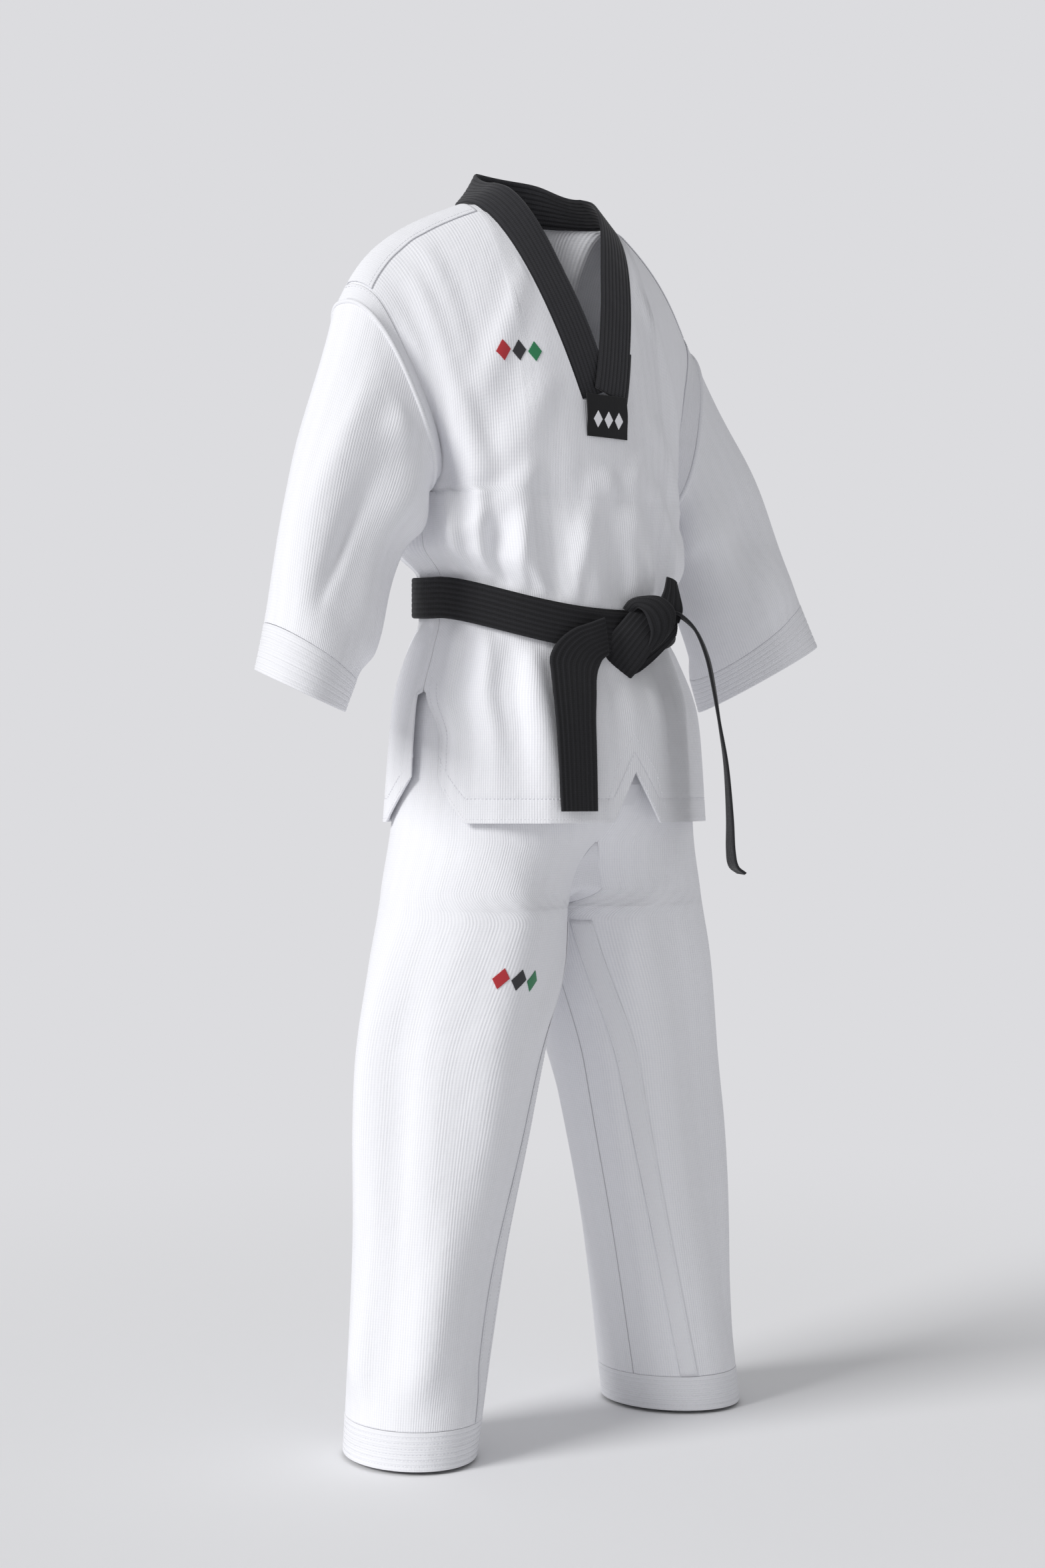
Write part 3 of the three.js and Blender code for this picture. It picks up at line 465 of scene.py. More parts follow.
# %% Jacket sizes
BODY = [  # height, half width, depth to the front, depth to the back
    (-682, 184, 150, 138), (-560, 174, 141, 132), (-487, 154, 127, 118), (-460, 147, 122, 111),
    (-414, 147, 122, 111), (-380, 170, 120, 128), (-325, 174, 110, 118)]
HEM_LEVEL, ARMPIT_LEVEL = BODY[0][0], BODY[-1][0]
CHEST_HALF = BODY[-1][1]
SQUARENESS = 2 / 2.25
BELT_LEVEL = -437
BELT_TILT, BACK_TILT, TILT_REACH = 38, 0.3, 150
BELT_WIDTH = 45
SLIT_TOP = -529
CORNER_CUT, CORNER_ANGLE = 50, 70
NOTCH_HALF, NOTCH_HEIGHT = 32, 55
TIP = (246, 44, -121)
ARMHOLE_FRONT, ARMHOLE_BACK = 58, 44
NECK_SIDE, NECK_Y, NECK_Z, NECK_BACK, NECK_RISE = 101, 12, 2, 78, 9
COLLAR_WIDTH = 45
COLLAR_END_X, COLLAR_END_Z = 31, -217.5
CLOTH, BAND = 1.6, 3.0
GAP = 0.4


# %% Jacket formulas
def torso(angle, level, inset=0.0):
    """Rounded square: x = width * sin^q, y = -depth * cos^q, and z = level less the belt's tilt, which fades
    with the distance from the belt."""
    side, fore = np.sin(np.radians(angle)), np.cos(np.radians(angle))
    width = between(BODY, 1, level) - inset
    depth = np.where(fore > 0, between(BODY, 2, level), between(BODY, 3, level)) - inset
    swing = np.where(fore > 0, BELT_TILT, BELT_TILT * BACK_TILT)
    fade = 1 - smooth(np.abs(level - BELT_LEVEL) / TILT_REACH)
    return vector(width * power(side, SQUARENESS), -depth * power(fore, SQUARENESS),
                  level - swing * power(fore, 1.5) * fade)


def armhole(turn, back):
    """Half a tilted oval from the armpit (-90) to the shoulder tip (90). It reaches forward or back by cos^0.8."""
    armpit, tip = np.array([CHEST_HALF, 0, ARMPIT_LEVEL]), np.array(TIP)
    rise = power(np.sin(np.radians(turn)), 0.85)[..., None] * (tip - armpit) / 2
    point = (armpit + tip) / 2 + rise
    point[..., 1] += (ARMHOLE_BACK if back else -ARMHOLE_FRONT) * power(np.cos(np.radians(turn)), 0.8)
    return point


def column_x(across):
    """How far out a column of cloth stands at the armpits."""
    return CHEST_HALF * power(np.sin(np.radians(across * 90)), SQUARENESS) + (TIP[0] - CHEST_HALF) * across**3


STATIONS = np.linspace(0, 1, 4001)
STATION_X = column_x(STATIONS)


def across_near(x):
    """The column whose foot is x from the middle: column_x read backwards."""
    return np.interp(x, STATION_X, STATIONS)


NECK_ACROSS = float(across_near(NECK_SIDE))


def ridge(x, back):
    """The top of a column: the neck seam inside NECK_SIDE, and the falling shoulder seam outside it."""
    along = np.clip((x - NECK_SIDE) / (TIP[0] - NECK_SIDE), 0, 1)
    fall = 0.42 * along + 0.58 * along**7
    shoulder = vector(x, lerp(NECK_Y, TIP[1], along), NECK_Z - (NECK_Z - TIP[2]) * fall)
    circle = np.sqrt(np.clip(1 - (x / NECK_SIDE) ** 2, 0, 1)) if back else 0 * x
    neck = vector(x, NECK_Y + NECK_BACK * circle, NECK_Z + NECK_RISE * circle)
    return np.where((x < NECK_SIDE)[..., None], neck, shoulder)


def upper(across, roll, back):
    """A quarter ellipse from the column's foot to its ridge, pulled towards the armhole by across^4."""
    foot = torso(180 - across * 90 if back else across * 90, ARMPIT_LEVEL + 0 * across)
    x = foot[..., 0] + (TIP[0] - CHEST_HALF) * across**3
    top = ridge(x, back)
    up, out = np.sin(np.radians(roll)), np.cos(np.radians(roll))
    plain = vector(lerp(top[..., 0], foot[..., 0], out), lerp(top[..., 1], foot[..., 1], out),
                   lerp(foot[..., 2], top[..., 2], up))
    return lerp(plain, armhole(2 * roll - 90, back), (across**4)[..., None])


def roll_at(z):
    """The roll at which a column inside the neck's width reaches the height z: asin of the share of its rise."""
    return np.degrees(np.arcsin(np.clip((z - ARMPIT_LEVEL) / (NECK_Z - ARMPIT_LEVEL), 0, 1)))


def neck_roll(across):
    """The roll at which a front column reaches the V edge."""
    share = np.clip((column_x(across) - COLLAR_END_X) / (NECK_SIDE - COLLAR_END_X), 0, 1)
    return roll_at(lerp(COLLAR_END_Z, NECK_Z, share))


def hem_level(across, back):
    """The hem's height: its cut corners, and on the front the notch in the middle."""
    cut = CORNER_CUT * np.clip((across * 90 - CORNER_ANGLE) / (90 - CORNER_ANGLE), 0, 1)
    x = torso(across * 90, HEM_LEVEL + 0 * across)[..., 0]
    notch = 0 if back else NOTCH_HEIGHT * np.clip(1 - x / NOTCH_HALF, 0, 1)
    return HEM_LEVEL + cut + notch


# %% [markdown]
# ## Folds
# Cloth that is belted gathers: above the belt it blouses over it in short pleats that fan out upwards, and below
# it long soft folds run down to the hem. Each fold is a bell-shaped ridge that moves sideways as it leaves the
# belt. A cloth simulation would find its own folds, but written ones stay the same on every run and leave the
# seams in place.

# %% Folds of the jacket
# angle in degrees from the front (plus is the wearer's left), width, height in mm, reach in mm, lean
PLEATS_UP = [
    (-78, 4, 5.0, 30, 0.10), (-68, 2.6, 4.6, 36, -0.06), (-60, 3, 5.2, 46, 0.05), (-50, 3, -4.5, 40, 0.0),
    (-43, 2.4, 4.6, 52, 0.08), (-34, 3, 3.6, 40, -0.05), (-27, 3, -3.6, 44, 0.05), (-19, 2.6, 4.0, 60, 0.10),
    (-9, 4, 3.2, 44, 0.02), (0, 4, -3.0, 50, 0.0), (9, 3, 3.6, 50, -0.05), (18, 3, 4.0, 42, -0.04),
    (28, 3, -3.8, 44, -0.08), (38, 3, 4.4, 50, -0.10), (48, 3, 4.0, 40, -0.05), (58, 4, -3.6, 40, 0.0),
    (70, 3, 4.8, 36, -0.08)]
PLEATS_DOWN = [
    (-80, 5, 4.0, 60, 0.03), (-70, 3, -4.4, 44, 0.0), (-61, 3, 4.4, 46, 0.04), (-50, 4, -4.2, 60, 0.05),
    (-40, 4, 4.6, 56, 0.06), (-29, 5, -3.6, 70, 0.04), (-14, 5, 3.4, 90, 0.02), (0, 4, 2.6, 50, 0.02),
    (14, 5, 3.8, 80, -0.02), (26, 4, -3.6, 60, -0.04), (38, 4, 4.0, 70, -0.04), (50, 4, -4.0, 60, -0.04),
    (62, 4, 3.8, 60, 0.0), (76, 4, 4.2, 60, 0.0)]


def pleats(rows, angle, away):
    """The sum of ridges that start at the belt, away mm off: height * bell(angle) * share * exp(1 - share),
    where share is away / reach."""
    total = 0 * angle
    for at, width, height, reach, lean in rows:
        spread = width * (1 + away / (reach * 2.2))
        share = away / reach
        total = total + height * bump(angle - at - lean * away, spread) * share * np.exp(1 - share)
    return total


def waves(angle, seed, low, high, size):
    """Slow waves round the body with seeded phases: the sum of cos(k * angle + phase) for each k from low to
    high - 1, times size / sqrt(high - low)."""
    random = np.random.default_rng(seed)
    total = 0 * angle
    for k in range(low, high):
        total = total + np.cos(np.radians(angle) * k + random.uniform(0, 2 * np.pi))
    return total * size / math.sqrt(high - low)


def crease(x, z, start, end, width, height):
    """A ridge along a straight line in (x, z) with a hollow on each side: height * (1 - 0.8 d^2) * bell(d),
    where d is the distance over width. It fades out at both ends of the line."""
    start, end = np.array(start, float), np.array(end, float)
    way = end - start
    length = np.hypot(*way)
    t = ((x - start[0]) * way[0] + (z - start[1]) * way[1]) / length**2
    d = ((x - start[0]) * way[1] - (z - start[1]) * way[0]) / length / width
    ends = smooth((t + 0.15) / 0.35) * smooth((1.15 - t) / 0.35)
    return height * (1 - 0.8 * d * d) * np.exp(-d * d) * ends


CREASES = [  # from (x, z) to (x, z), width and height in mm, between the belt and the shoulders
    ((-222, -145), (-160, -338), 13, -13.0), ((-192, -95), (-140, -320), 14, 4.5),
    ((-176, -60), (-150, -210), 14, 2.5), ((-150, -330), (-70, -200), 22, 2.4),
    ((-165, -380), (-95, -300), 16, 2.6), ((150, -340), (70, -230), 22, 2.4),
    ((222, -145), (160, -338), 13, -9.0), ((-70, -60), (-150, -230), 16, 2.6),
    ((84, -70), (150, -240), 16, 2.2), ((120, -390), (60, -300), 16, 2.4),
    ((-40, -360), (-20, -250), 20, -2.0), ((30, -370), (44, -270), 20, 2.2),
    ((0, -262), (0, -330), 12, 1.8)]
FULLNESS, CREASE_FULLNESS = 1.7, 1.8  # every pleat and every crease is drawn this many times its written height
DEEPEST_CHEST, DEEPEST_SKIRT = 20, 4.8  # no hollow goes deeper than this (mm)
PLEATS_START, PLEATS_END = -411, -463  # the belt's upper and lower edge on the untipped levels
LABEL_FLAT = (240, 34, 36)  # folds die out round the label: how far below the neck, and its reach across and up


def fold_height(u, v, point, back):
    """How far the cloth stands off its plain shape (mm): pleats at the belt, waves, and creases up to the
    shoulders. It is nought under the belt, at the armholes, at the neck and at the shoulder seams."""
    angle = u * 90
    level = point[..., 2] + 0 * u
    untipped = level + BELT_TILT * power(np.cos(np.radians(angle)), 1.5) * (BACK_TILT if back else 1)
    above, below = np.clip(untipped - PLEATS_START, 0, None), np.clip(PLEATS_END - untipped, 0, None)
    turn = angle if not back else angle * 0.93 + 7
    up = pleats(PLEATS_UP, turn, above)
    down = pleats(PLEATS_DOWN, turn, below)
    slow = waves(angle, 5 if back else 2, 3, 9, 2.2) * smooth(below / 90) + waves(
        angle, 9 if back else 4, 3, 8, 1.6) * smooth(above / 80) * smooth((1.6 - v) / 0.6)
    marks = 0 * u
    for start, end, width, height in CREASES:
        marks = marks + crease(point[..., 0] * (-1 if back else 1), point[..., 2], start, end, width, height)
    free = smooth((1 - np.abs(u)) / 0.10) * smooth((2 - v) / 0.16)
    sewn = np.where(v < 1, smooth((1 - np.abs(u)) / 0.06 + (level < SLIT_TOP - 12)), 1)
    height = (FULLNESS * (up + down + slow) * sewn * np.where(v > 1, free, 1)
              + CREASE_FULLNESS * marks * free * smooth((v - 0.55) / 0.2))
    depth, wide, tall = LABEL_FLAT
    near_label = smooth(2.2 - np.hypot(point[..., 0] / wide, (point[..., 2] + depth) / tall)) * (not back)
    height = height * (1 - near_label)
    deepest = lerp(DEEPEST_SKIRT, DEEPEST_CHEST, smooth((v - 0.62) / 0.1))
    return np.where(height < 0, deepest * np.tanh(height / deepest), height)


def outward(u, v, back):
    """The way out of the body: level below the armpits, and turning up to the shoulder seam above them."""
    angle = np.radians(np.abs(u) * 90)
    roll = np.radians(np.clip(v - 1, 0, 1) * 90)
    return unit(vector(np.sign(u) * np.sin(angle) * np.cos(roll) * 0.7,
                       (1 if back else -1) * np.cos(angle * 0.85) * np.cos(roll), 0.9 * np.sin(roll)))


OPEN_SLIT = 11  # degrees by which the front flap's edges swing forward below the slits
FLARE = 4.5  # how far the skirt's hem stands off its plain shape


def panel(u, v, back):
    """The plain panel: v from 0 at the hem over 1 at the armpits to 2 at the top; u from -1 to 1 across."""
    side = np.where(u < 0, -1.0, 1.0)
    across = np.clip(np.abs(u), 0, 1)
    hem = hem_level(across, back)
    level = lerp(hem, ARMPIT_LEVEL, np.clip(v, 0, 1))
    swing = 0 if back else OPEN_SLIT * across**3 * smooth((SLIT_TOP - 4 - level) / 60)
    angle = across * 90 - swing
    lower = torso(180 - angle if back else angle, level)
    limit = 1.0 if back else np.where(across < NECK_ACROSS, neck_roll(across) / 90, 1.0)
    higher = upper(across, np.clip(v - 1, 0, 1) * 90 * limit, back)
    point = np.where((v > 1)[..., None], higher, lower)
    return point * vector(side, 1.0, 1.0)


def draped(back, seam=0.35):
    """The panel with its folds and its flare. Its sewn edges stand seam mm off, clear of the next panel's."""
    def surface(u, v):
        point = panel(u, v, back)
        flare = FLARE * smooth(1 - v / 0.42) * (1 - 0.5 * np.abs(u))
        height = fold_height(np.clip(u, -1, 1), v, point, back) + flare
        point = point + outward(u, v, back) * height[..., None]
        at_side = smooth((np.abs(u) - 0.96) / 0.04) * (v < 1)
        at_shoulder = smooth((v - 1.9) / 0.1) * (np.abs(u) >= NECK_ACROSS)
        point[..., 1] += (seam if back else -seam) * (at_side + at_shoulder)
        return point
    return surface


FRONT, BACK = draped(False), draped(True)


# %% [markdown]
# ## The jacket's panels
# The front and the back are one grid each, from the hem to the top. Rows crowd together at the hem and at the
# facing's seam, which pulls the cloth in by half a millimetre, and columns crowd at the notch and the slits.

# %% Panels
def columns(count):
    """Columns from -1 to 1, with extra ones at the notch's foot, at the middle and along the edges."""
    notch = float(across_near(NOTCH_HALF * CHEST_HALF / BODY[0][1]))
    even = np.linspace(0.012, 0.97, count)
    half = np.unique(np.concatenate([even, [notch, notch * 1.02, 0.905, 0.915, 0.925, 0.985, 0.994, 1.0]]))
    return np.concatenate([-half[::-1], [0], half])


HEM_ROWS = np.concatenate([[0, 0.002, 0.01], np.linspace(0.022, 0.064, 4), np.linspace(0.068, 0.078, 5)])
ROWS = np.concatenate([HEM_ROWS, np.linspace(0.09, 1, 88), np.linspace(1.015, 1.99, 76), [1.996, 2.0]])
SEAM_ROW = 0.073  # where the facing is sewn, as a share of the way to the armpits
SLIT_SEAM = 0.915  # where the slit's facing is sewn, as a share of the way round to the side


def seamed(surface, back):
    """The surface with stitching grooves half a millimetre deep along the hem's facing and beside the slits."""
    def sewn(u, v):
        point = surface(u, v)
        groove = bump(v - SEAM_ROW, 0.004) + bump(np.abs(u) - SLIT_SEAM, 0.006) * (point[..., 2] < SLIT_TOP)
        return point - outward(u, v, back) * (0.55 * np.clip(groove, 0, 1))[..., None]
    return sewn


for label, surface, behind in (("front", FRONT, False), ("back", BACK, True)):
    panel_cloth = cloth(f"{label}_cloth", seamed(surface, behind), columns(64), ROWS, -CLOTH / 2, CLOTH / 2,
                        TWILL)
    dress(panel_cloth, "uniform_twill", "jacket", f"jacket_{label}")


# %% [markdown]
# ## Threads
# A row of stitches is a row of short spindles of thread lying on the cloth. One function lays them along any
# path on a surface, at the real pitch, so that yokes, tapes, hems and cuffs are sewn and not just drawn.

# %% Stitches
SPINDLE = ((-0.5, 0.25, -0.35), (-0.25, 1.0, 0.0), (0.25, 1.0, 0.0), (0.5, 0.25, -0.35))  # place, size and sink
CAPS = ((0, (3, 2, 1, 0)), (0, (0, 5, 4, 3)), (18, (0, 1, 2, 3)), (18, (3, 4, 5, 0)))  # the ends' quads


def pick(rows, at, far):
    """Points at the distances at along a line whose own distances are far."""
    return np.stack([np.interp(at, far, rows[:, k]) for k in range(3)], 1)


def stitches(name, surface, paths, lift, material, pitch=4.2, length=3.0, wide=0.75):
    """Six-sided spindles along each path. A path is a pair of arrays (u, v). Each spindle lies along the path's
    direction, lift above the surface, with its ends pressed into the cloth."""
    all_points, all_quads = [], []
    tiny = 1e-4
    for u, v in paths:
        u, v = np.asarray(u, float), np.asarray(v, float)
        line = surface(u, v)
        normal = unit(np.cross(surface(u + tiny, v) - surface(u - tiny, v),
                               surface(u, v + tiny) - surface(u, v - tiny)))
        far = np.concatenate([[0], np.cumsum(np.linalg.norm(np.diff(line, axis=0), axis=1))])
        at = np.arange(pitch / 2, far[-1], pitch)
        if not len(at):
            continue
        centre, out = pick(line, at, far), unit(pick(normal, at, far))
        way = unit(pick(line, np.minimum(at + 1, far[-1]), far) - pick(line, np.maximum(at - 1, 0), far))
        over = unit(np.cross(out, way))
        centre = centre + out * lift
        rings = []
        for along, size, sink in SPINDLE:
            for k in range(6):
                a = k * math.pi / 3
                rings.append(centre + way * along * length + out * (sink + math.sin(a) * size * wide / 2.4)
                             + over * math.cos(a) * size * wide / 2)
        points = np.stack(rings, 1).reshape(-1, 3)
        base = np.arange(len(at))[:, None] * 24 + sum(len(p) for p in all_points)
        for ring in range(3):
            for k in range(6):
                n = (k + 1) % 6
                all_quads.append(base + [ring * 6 + k, ring * 6 + n, ring * 6 + 6 + n, ring * 6 + 6 + k])
        for first, order in CAPS:
            all_quads.append(base + [first + k for k in order])
        all_points.append(points)
    quads = np.concatenate(all_quads)
    made = mesh_object(name, np.concatenate(all_points), quads, np.zeros((len(quads), 4, 2)), material)
    print(f"{name}: {len(quads) // 22} stitches")
    return made


def line_uv(start, end, count=200):
    """A straight path in (u, v)."""
    return np.linspace(start[0], end[0], count), np.linspace(start[1], end[1], count)


SLIT_ROW = 0.37  # the slit's foot, as a share of the way to the armpits
HEM_SEAM = line_uv((-0.90, SEAM_ROW), (0.90, SEAM_ROW), 600)
HEM_EDGE = line_uv((-0.94, 0.012), (0.94, 0.012), 600)
hem_sewing = stitches("front_hem_stitches", FRONT, [
    HEM_SEAM,
    line_uv((-SLIT_SEAM, SEAM_ROW), (-SLIT_SEAM, SLIT_ROW)),
    line_uv((SLIT_SEAM, SEAM_ROW), (SLIT_SEAM, SLIT_ROW)),
    line_uv((-0.97, 0.02), (-0.97, SLIT_ROW)), line_uv((0.97, 0.02), (0.97, SLIT_ROW)),
    HEM_EDGE,
    line_uv((-0.08, 0.14), (0.08, 0.14), 60), line_uv((-0.13, 0.02), (-0.08, 0.14), 60),
    line_uv((0.13, 0.02), (0.08, 0.14), 60)], CLOTH / 2 + 0.1, WHITE_THREAD)
dress(hem_sewing, "white_tape", "jacket", "notch_reinforcement")
back_sewing = stitches("back_hem_stitches", BACK, [HEM_SEAM, HEM_EDGE], -CLOTH / 2 - 0.1, WHITE_THREAD)
dress(back_sewing, "white_tape", "jacket")

# %% [markdown]
# ## Facings, yokes and armhole tapes
# A facing is the turned hem, seen where a flap lifts. The yokes are strips over the shoulder seams and the tapes
# cover the armhole seams. Each is worked out on its panel's own surface and lifted off it, so it follows every
# fold. A round welt closes each armhole, where the sleeve is sewn in.

# %% Trims on the jacket
NEAR = CLOTH / 2 + GAP  # how far off the cloth's middle a tape starts
hem_columns = np.unique(np.clip(columns(64), -0.985, 0.985))
for label, surface, sign in (("front", FRONT, -1), ("back", BACK, 1)):
    low, high = sorted((sign * NEAR, sign * (NEAR + 1.0)))
    facing = cloth(f"{label}_facing", surface, hem_columns, HEM_ROWS[1:], low, high, TAPE)
    dress(facing, "white_tape", "jacket", f"{label}_hem_facing")


def shoulder_cloth(side):
    """The cloth across one shoulder: roll runs from the front (-90) over the seam (0) to the back (90)."""
    def surface(across, roll):
        v = 2 - np.abs(roll) / 90
        u = side * np.clip(across, 0.3, 1)
        return np.where((roll > 0)[..., None], draped(True, 0.0)(u, v), draped(False, 0.0)(u, v))
    return surface


YOKE_REACH = 15  # degrees of roll that the yoke reaches to the front and to the back
YOKE_SIDES = np.concatenate([[-YOKE_REACH, -YOKE_REACH + 0.5], np.linspace(-YOKE_REACH + 1, YOKE_REACH - 1, 22),
                             [YOKE_REACH - 0.5, YOKE_REACH]])
TRIM_FOOT, TRIM_TOP = 1.3, 2.3  # the trims' two faces above the cloth's middle
TAPE_COLUMNS = np.array([0.9, 0.903, 0.93, 0.96, 0.99, 0.994])
TAPE_ROLLS = np.concatenate([np.linspace(-78, -2, 60), np.linspace(2, 78, 60)])
for label, side in SIDES:
    over = shoulder_cloth(side)
    low, high = sorted((side * TRIM_FOOT, side * TRIM_TOP))
    yoke = cloth(f"{label}_yoke_strip", over, np.linspace(NECK_ACROSS + 0.02, 0.89, 60), YOKE_SIDES, low, high,
                 TAPE)
    dress(yoke, "white_tape", "jacket", f"{label}_shoulder_yoke")
    armhole_tape = cloth(f"{label}_armhole_strip", over, TAPE_COLUMNS, TAPE_ROLLS, low, high, TAPE)
    dress(armhole_tape, "white_tape", "jacket", f"{label}_armhole_tape")
    sewing = stitches(f"{label}_shoulder_stitches", over, [
        line_uv((NECK_ACROSS + 0.03, -YOKE_REACH + 2), (0.885, -YOKE_REACH + 2)),
        line_uv((NECK_ACROSS + 0.03, YOKE_REACH - 2), (0.885, YOKE_REACH - 2)),
        line_uv((0.91, -76), (0.91, 76), 400), line_uv((0.985, -76), (0.985, 76), 400)],
        side * (TRIM_TOP + 0.1), WHITE_THREAD)
    dress(sewing, "white_tape", "jacket")


# %% Armhole seams
WELT = 2.4  # the welt's radius


def armhole_ring(turn, side, off_armpit, off_tip):
    """The whole armhole: turn runs from the armpit (-90) up the front to the tip (90) and down the back. The
    ring stands outside the seam by off_armpit at the armpit and off_tip at the tip."""
    wrapped = (turn + 90) % 360 - 90
    behind = np.cos(np.radians(wrapped)) < 0
    point = np.where(behind[..., None], armhole(180 - wrapped, True), armhole(wrapped, False)) * [side, 1, 1]
    point[..., 0] += side * lerp(off_armpit, off_tip, (1 + np.sin(np.radians(wrapped))) / 2)
    return point


def armhole_welt(side):
    """A round welt over the armhole seam: a circle of radius WELT swept along the armhole's ring."""
    def surface(turn, a):
        """The point at the angle a round the welt."""
        way = unit(armhole_ring(turn + 2, side, 2.0, 0.3) - armhole_ring(turn - 2, side, 2.0, 0.3))
        first = unit(np.cross(way, [0.943, 0, side * 0.333]))
        second = np.cross(way, first)
        return armhole_ring(turn, side, 2.0, 0.3) + (WELT * np.cos(a))[..., None] * first + (
            WELT * np.sin(a))[..., None] * second
    return surface


for label, side in SIDES:
    welt = cloth(f"{label}_armhole_welt", armhole_welt(side), np.linspace(-88, 268, 140),
                 np.linspace(0, 2 * np.pi, 13), -0.4, 0.4, TAPE)
    dress(welt, "white_tape", "jacket")

# %% [markdown]
# ## Sleeves and cuffs
# A sleeve is a wide tube from the armhole's ring to an oval cuff ring. It hangs from the shoulder's tip, so drag
# folds fan out from the armpit and twist down the tube. The cuff is a separate band, quilted into seven strips
# by six rows of stitching, whose grooves are real: each row pulls the band in by half a millimetre.

# %% Sleeve formulas
CUFF_LONG, CUFF_SHORT, CUFF_TURN, CUFF_DEPTH = 71.5, 46, 30, 46
CUFFS = {RIGHT: (-333, 0, -543, -0.36, 0.3), LEFT: (313, -30, -515, 0.5, -0.3)}  # x, y, z, rise by x and by y
SLEEVE_BULGE, ARMPIT_EASE = 10, 4
QUILT_STRIPS, QUILT_DEPTH, BAND_THICK = 7, 0.55, 2.4
ROW_LIFT = 0.95  # the stitch rows' height over the middle of a quilted band


def cuff_ring(turn, side):
    """An oval in the level plane, tipped by the cuff's rise in x and in y."""
    x, y, z, rise_x, rise_y = CUFFS[side]
    lean, tilt = np.radians(turn - CUFF_TURN), math.radians(CUFF_TURN)
    dx = side * (CUFF_LONG * np.cos(lean) * math.sin(tilt) + CUFF_SHORT * np.sin(lean) * math.cos(tilt))
    dy = -CUFF_LONG * np.cos(lean) * math.cos(tilt) + CUFF_SHORT * np.sin(lean) * math.sin(tilt)
    return vector(x + dx, y + dy, z + rise_x * dx + rise_y * dy)


SLEEVE_FOLDS = {  # turn, place along, spread of turn, spread along, height in mm, twist
    RIGHT: [(-60, 0.16, 20, 0.10, 5, 60), (-20, 0.22, 18, 0.16, 4, 70), (-40, 0.42, 22, 0.14, -4, 60),
            (30, 0.30, 22, 0.20, 2.5, 40), (10, 0.62, 26, 0.22, -3, 40), (70, 0.55, 30, 0.25, 3, 30),
            (-50, 0.72, 24, 0.18, 3.5, 50), (150, 0.4, 26, 0.2, 4, 50), (200, 0.65, 26, 0.2, -4, 50),
            (25, 0.56, 9, 0.20, -3.4, 60), (44, 0.34, 12, 0.18, 2.6, 50), (2, 0.14, 9, 0.08, 3.0, 90)],
    LEFT: [(-60, 0.16, 20, 0.10, 5, 60), (-30, 0.28, 18, 0.16, 4, 60), (-10, 0.45, 22, 0.16, -4, 60),
           (40, 0.40, 22, 0.22, 3, 40), (0, 0.70, 26, 0.2, 3.5, 40), (80, 0.60, 30, 0.25, -3, 30),
           (150, 0.4, 26, 0.2, 4, 50), (210, 0.65, 26, 0.2, -4, 50)]}


SLEEVE_FULLNESS = 2.6  # every fold is drawn this many times its written height


def sleeve(side):
    """Straight lines from the armhole's ring to the cuff's, with a swell over the elbow and bell-shaped folds
    that twist round the tube as they run down it."""
    def surface(turn, along):
        """The point at the angle turn round the tube, at the share along of the way down it."""
        wrapped = (turn + 90) % 360 - 90
        start = armhole_ring(turn, side, ARMPIT_EASE, 0.5)
        point = lerp(start, cuff_ring(wrapped, side), along[..., None])
        swell = SLEEVE_BULGE * np.sin(np.pi * np.clip(along, 0, 1)) ** 2 * np.clip(
            np.sin(np.radians(wrapped)), 0, 1)
        middle = lerp(np.array([side * (TIP[0] + CHEST_HALF) / 2, 20.0, -223.0]), np.array(CUFFS[side][:3]),
                      np.clip(along, 0, 1)[..., None])
        height = 0 * along
        for at, place, wide, tall, rise, twist in SLEEVE_FOLDS[side]:
            off = (wrapped - at - twist * (along - place) + 180) % 360 - 180
            height = height + SLEEVE_FULLNESS * rise * bump(off, wide) * bump(along - place, tall)
        height = height * smooth(along / 0.12) * smooth((0.86 - along) / 0.12)
        point[..., 0] += side * swell
        return point + unit(point - middle) * height[..., None]
    return surface


def quilted(start, end, thick, depth, sign):
    """The offset of one face of a quilted band between the places start and end: half its thickness less the
    grooves, on the side of sign."""
    return lambda U, V: sign * (thick / 2 + rows_of_stitching((V - start) / (end - start), QUILT_STRIPS, depth))


def once_round(start, end, first, last, count=500):
    """The paths of the rows of stitching round a quilted band that lies between the places start and end. Each
    path runs from first to last round it."""
    line = np.linspace(first, last, count)
    return [(line, 0 * line + lerp(start, end, (k + 1) / QUILT_STRIPS)) for k in range(QUILT_STRIPS - 1)]


# %% Sleeves
for label, side in SIDES:
    tube = sleeve(side)
    front_edge = cuff_ring(np.array(0.0), side) - armhole(np.array(0.0), False) * [side, 1, 1]
    length = float(np.linalg.norm(front_edge))
    start = 1 - CUFF_DEPTH / length
    turns = np.linspace(-90, 270, 121)
    made = cloth(f"{label}_sleeve_cloth", tube, turns, steps(0.9 / length, start - 0.5 / length, 96, 0.002),
                 -CLOTH / 2, CLOTH / 2, TWILL, loop=True)
    dress(made, "uniform_twill", None, f"{label}_sleeve")
    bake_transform(made)
    cuff = cloth(f"{label}_cuff_band", tube, turns, steps(start, 1.0, 84, 0.0006),
                 quilted(start, 1, BAND_THICK, QUILT_DEPTH, -1), quilted(start, 1, BAND_THICK, QUILT_DEPTH, 1),
                 QUILTED, loop=True, turned=True)
    dress(cuff, "quilted_band", f"{label}_sleeve_tube", f"{label}_cuff")
    sewing = stitches(f"{label}_cuff_stitches", tube, once_round(start, 1, -90, 270), side * ROW_LIFT,
                      WHITE_THREAD)
    dress(sewing, "quilted_band", f"{label}_sleeve_tube")

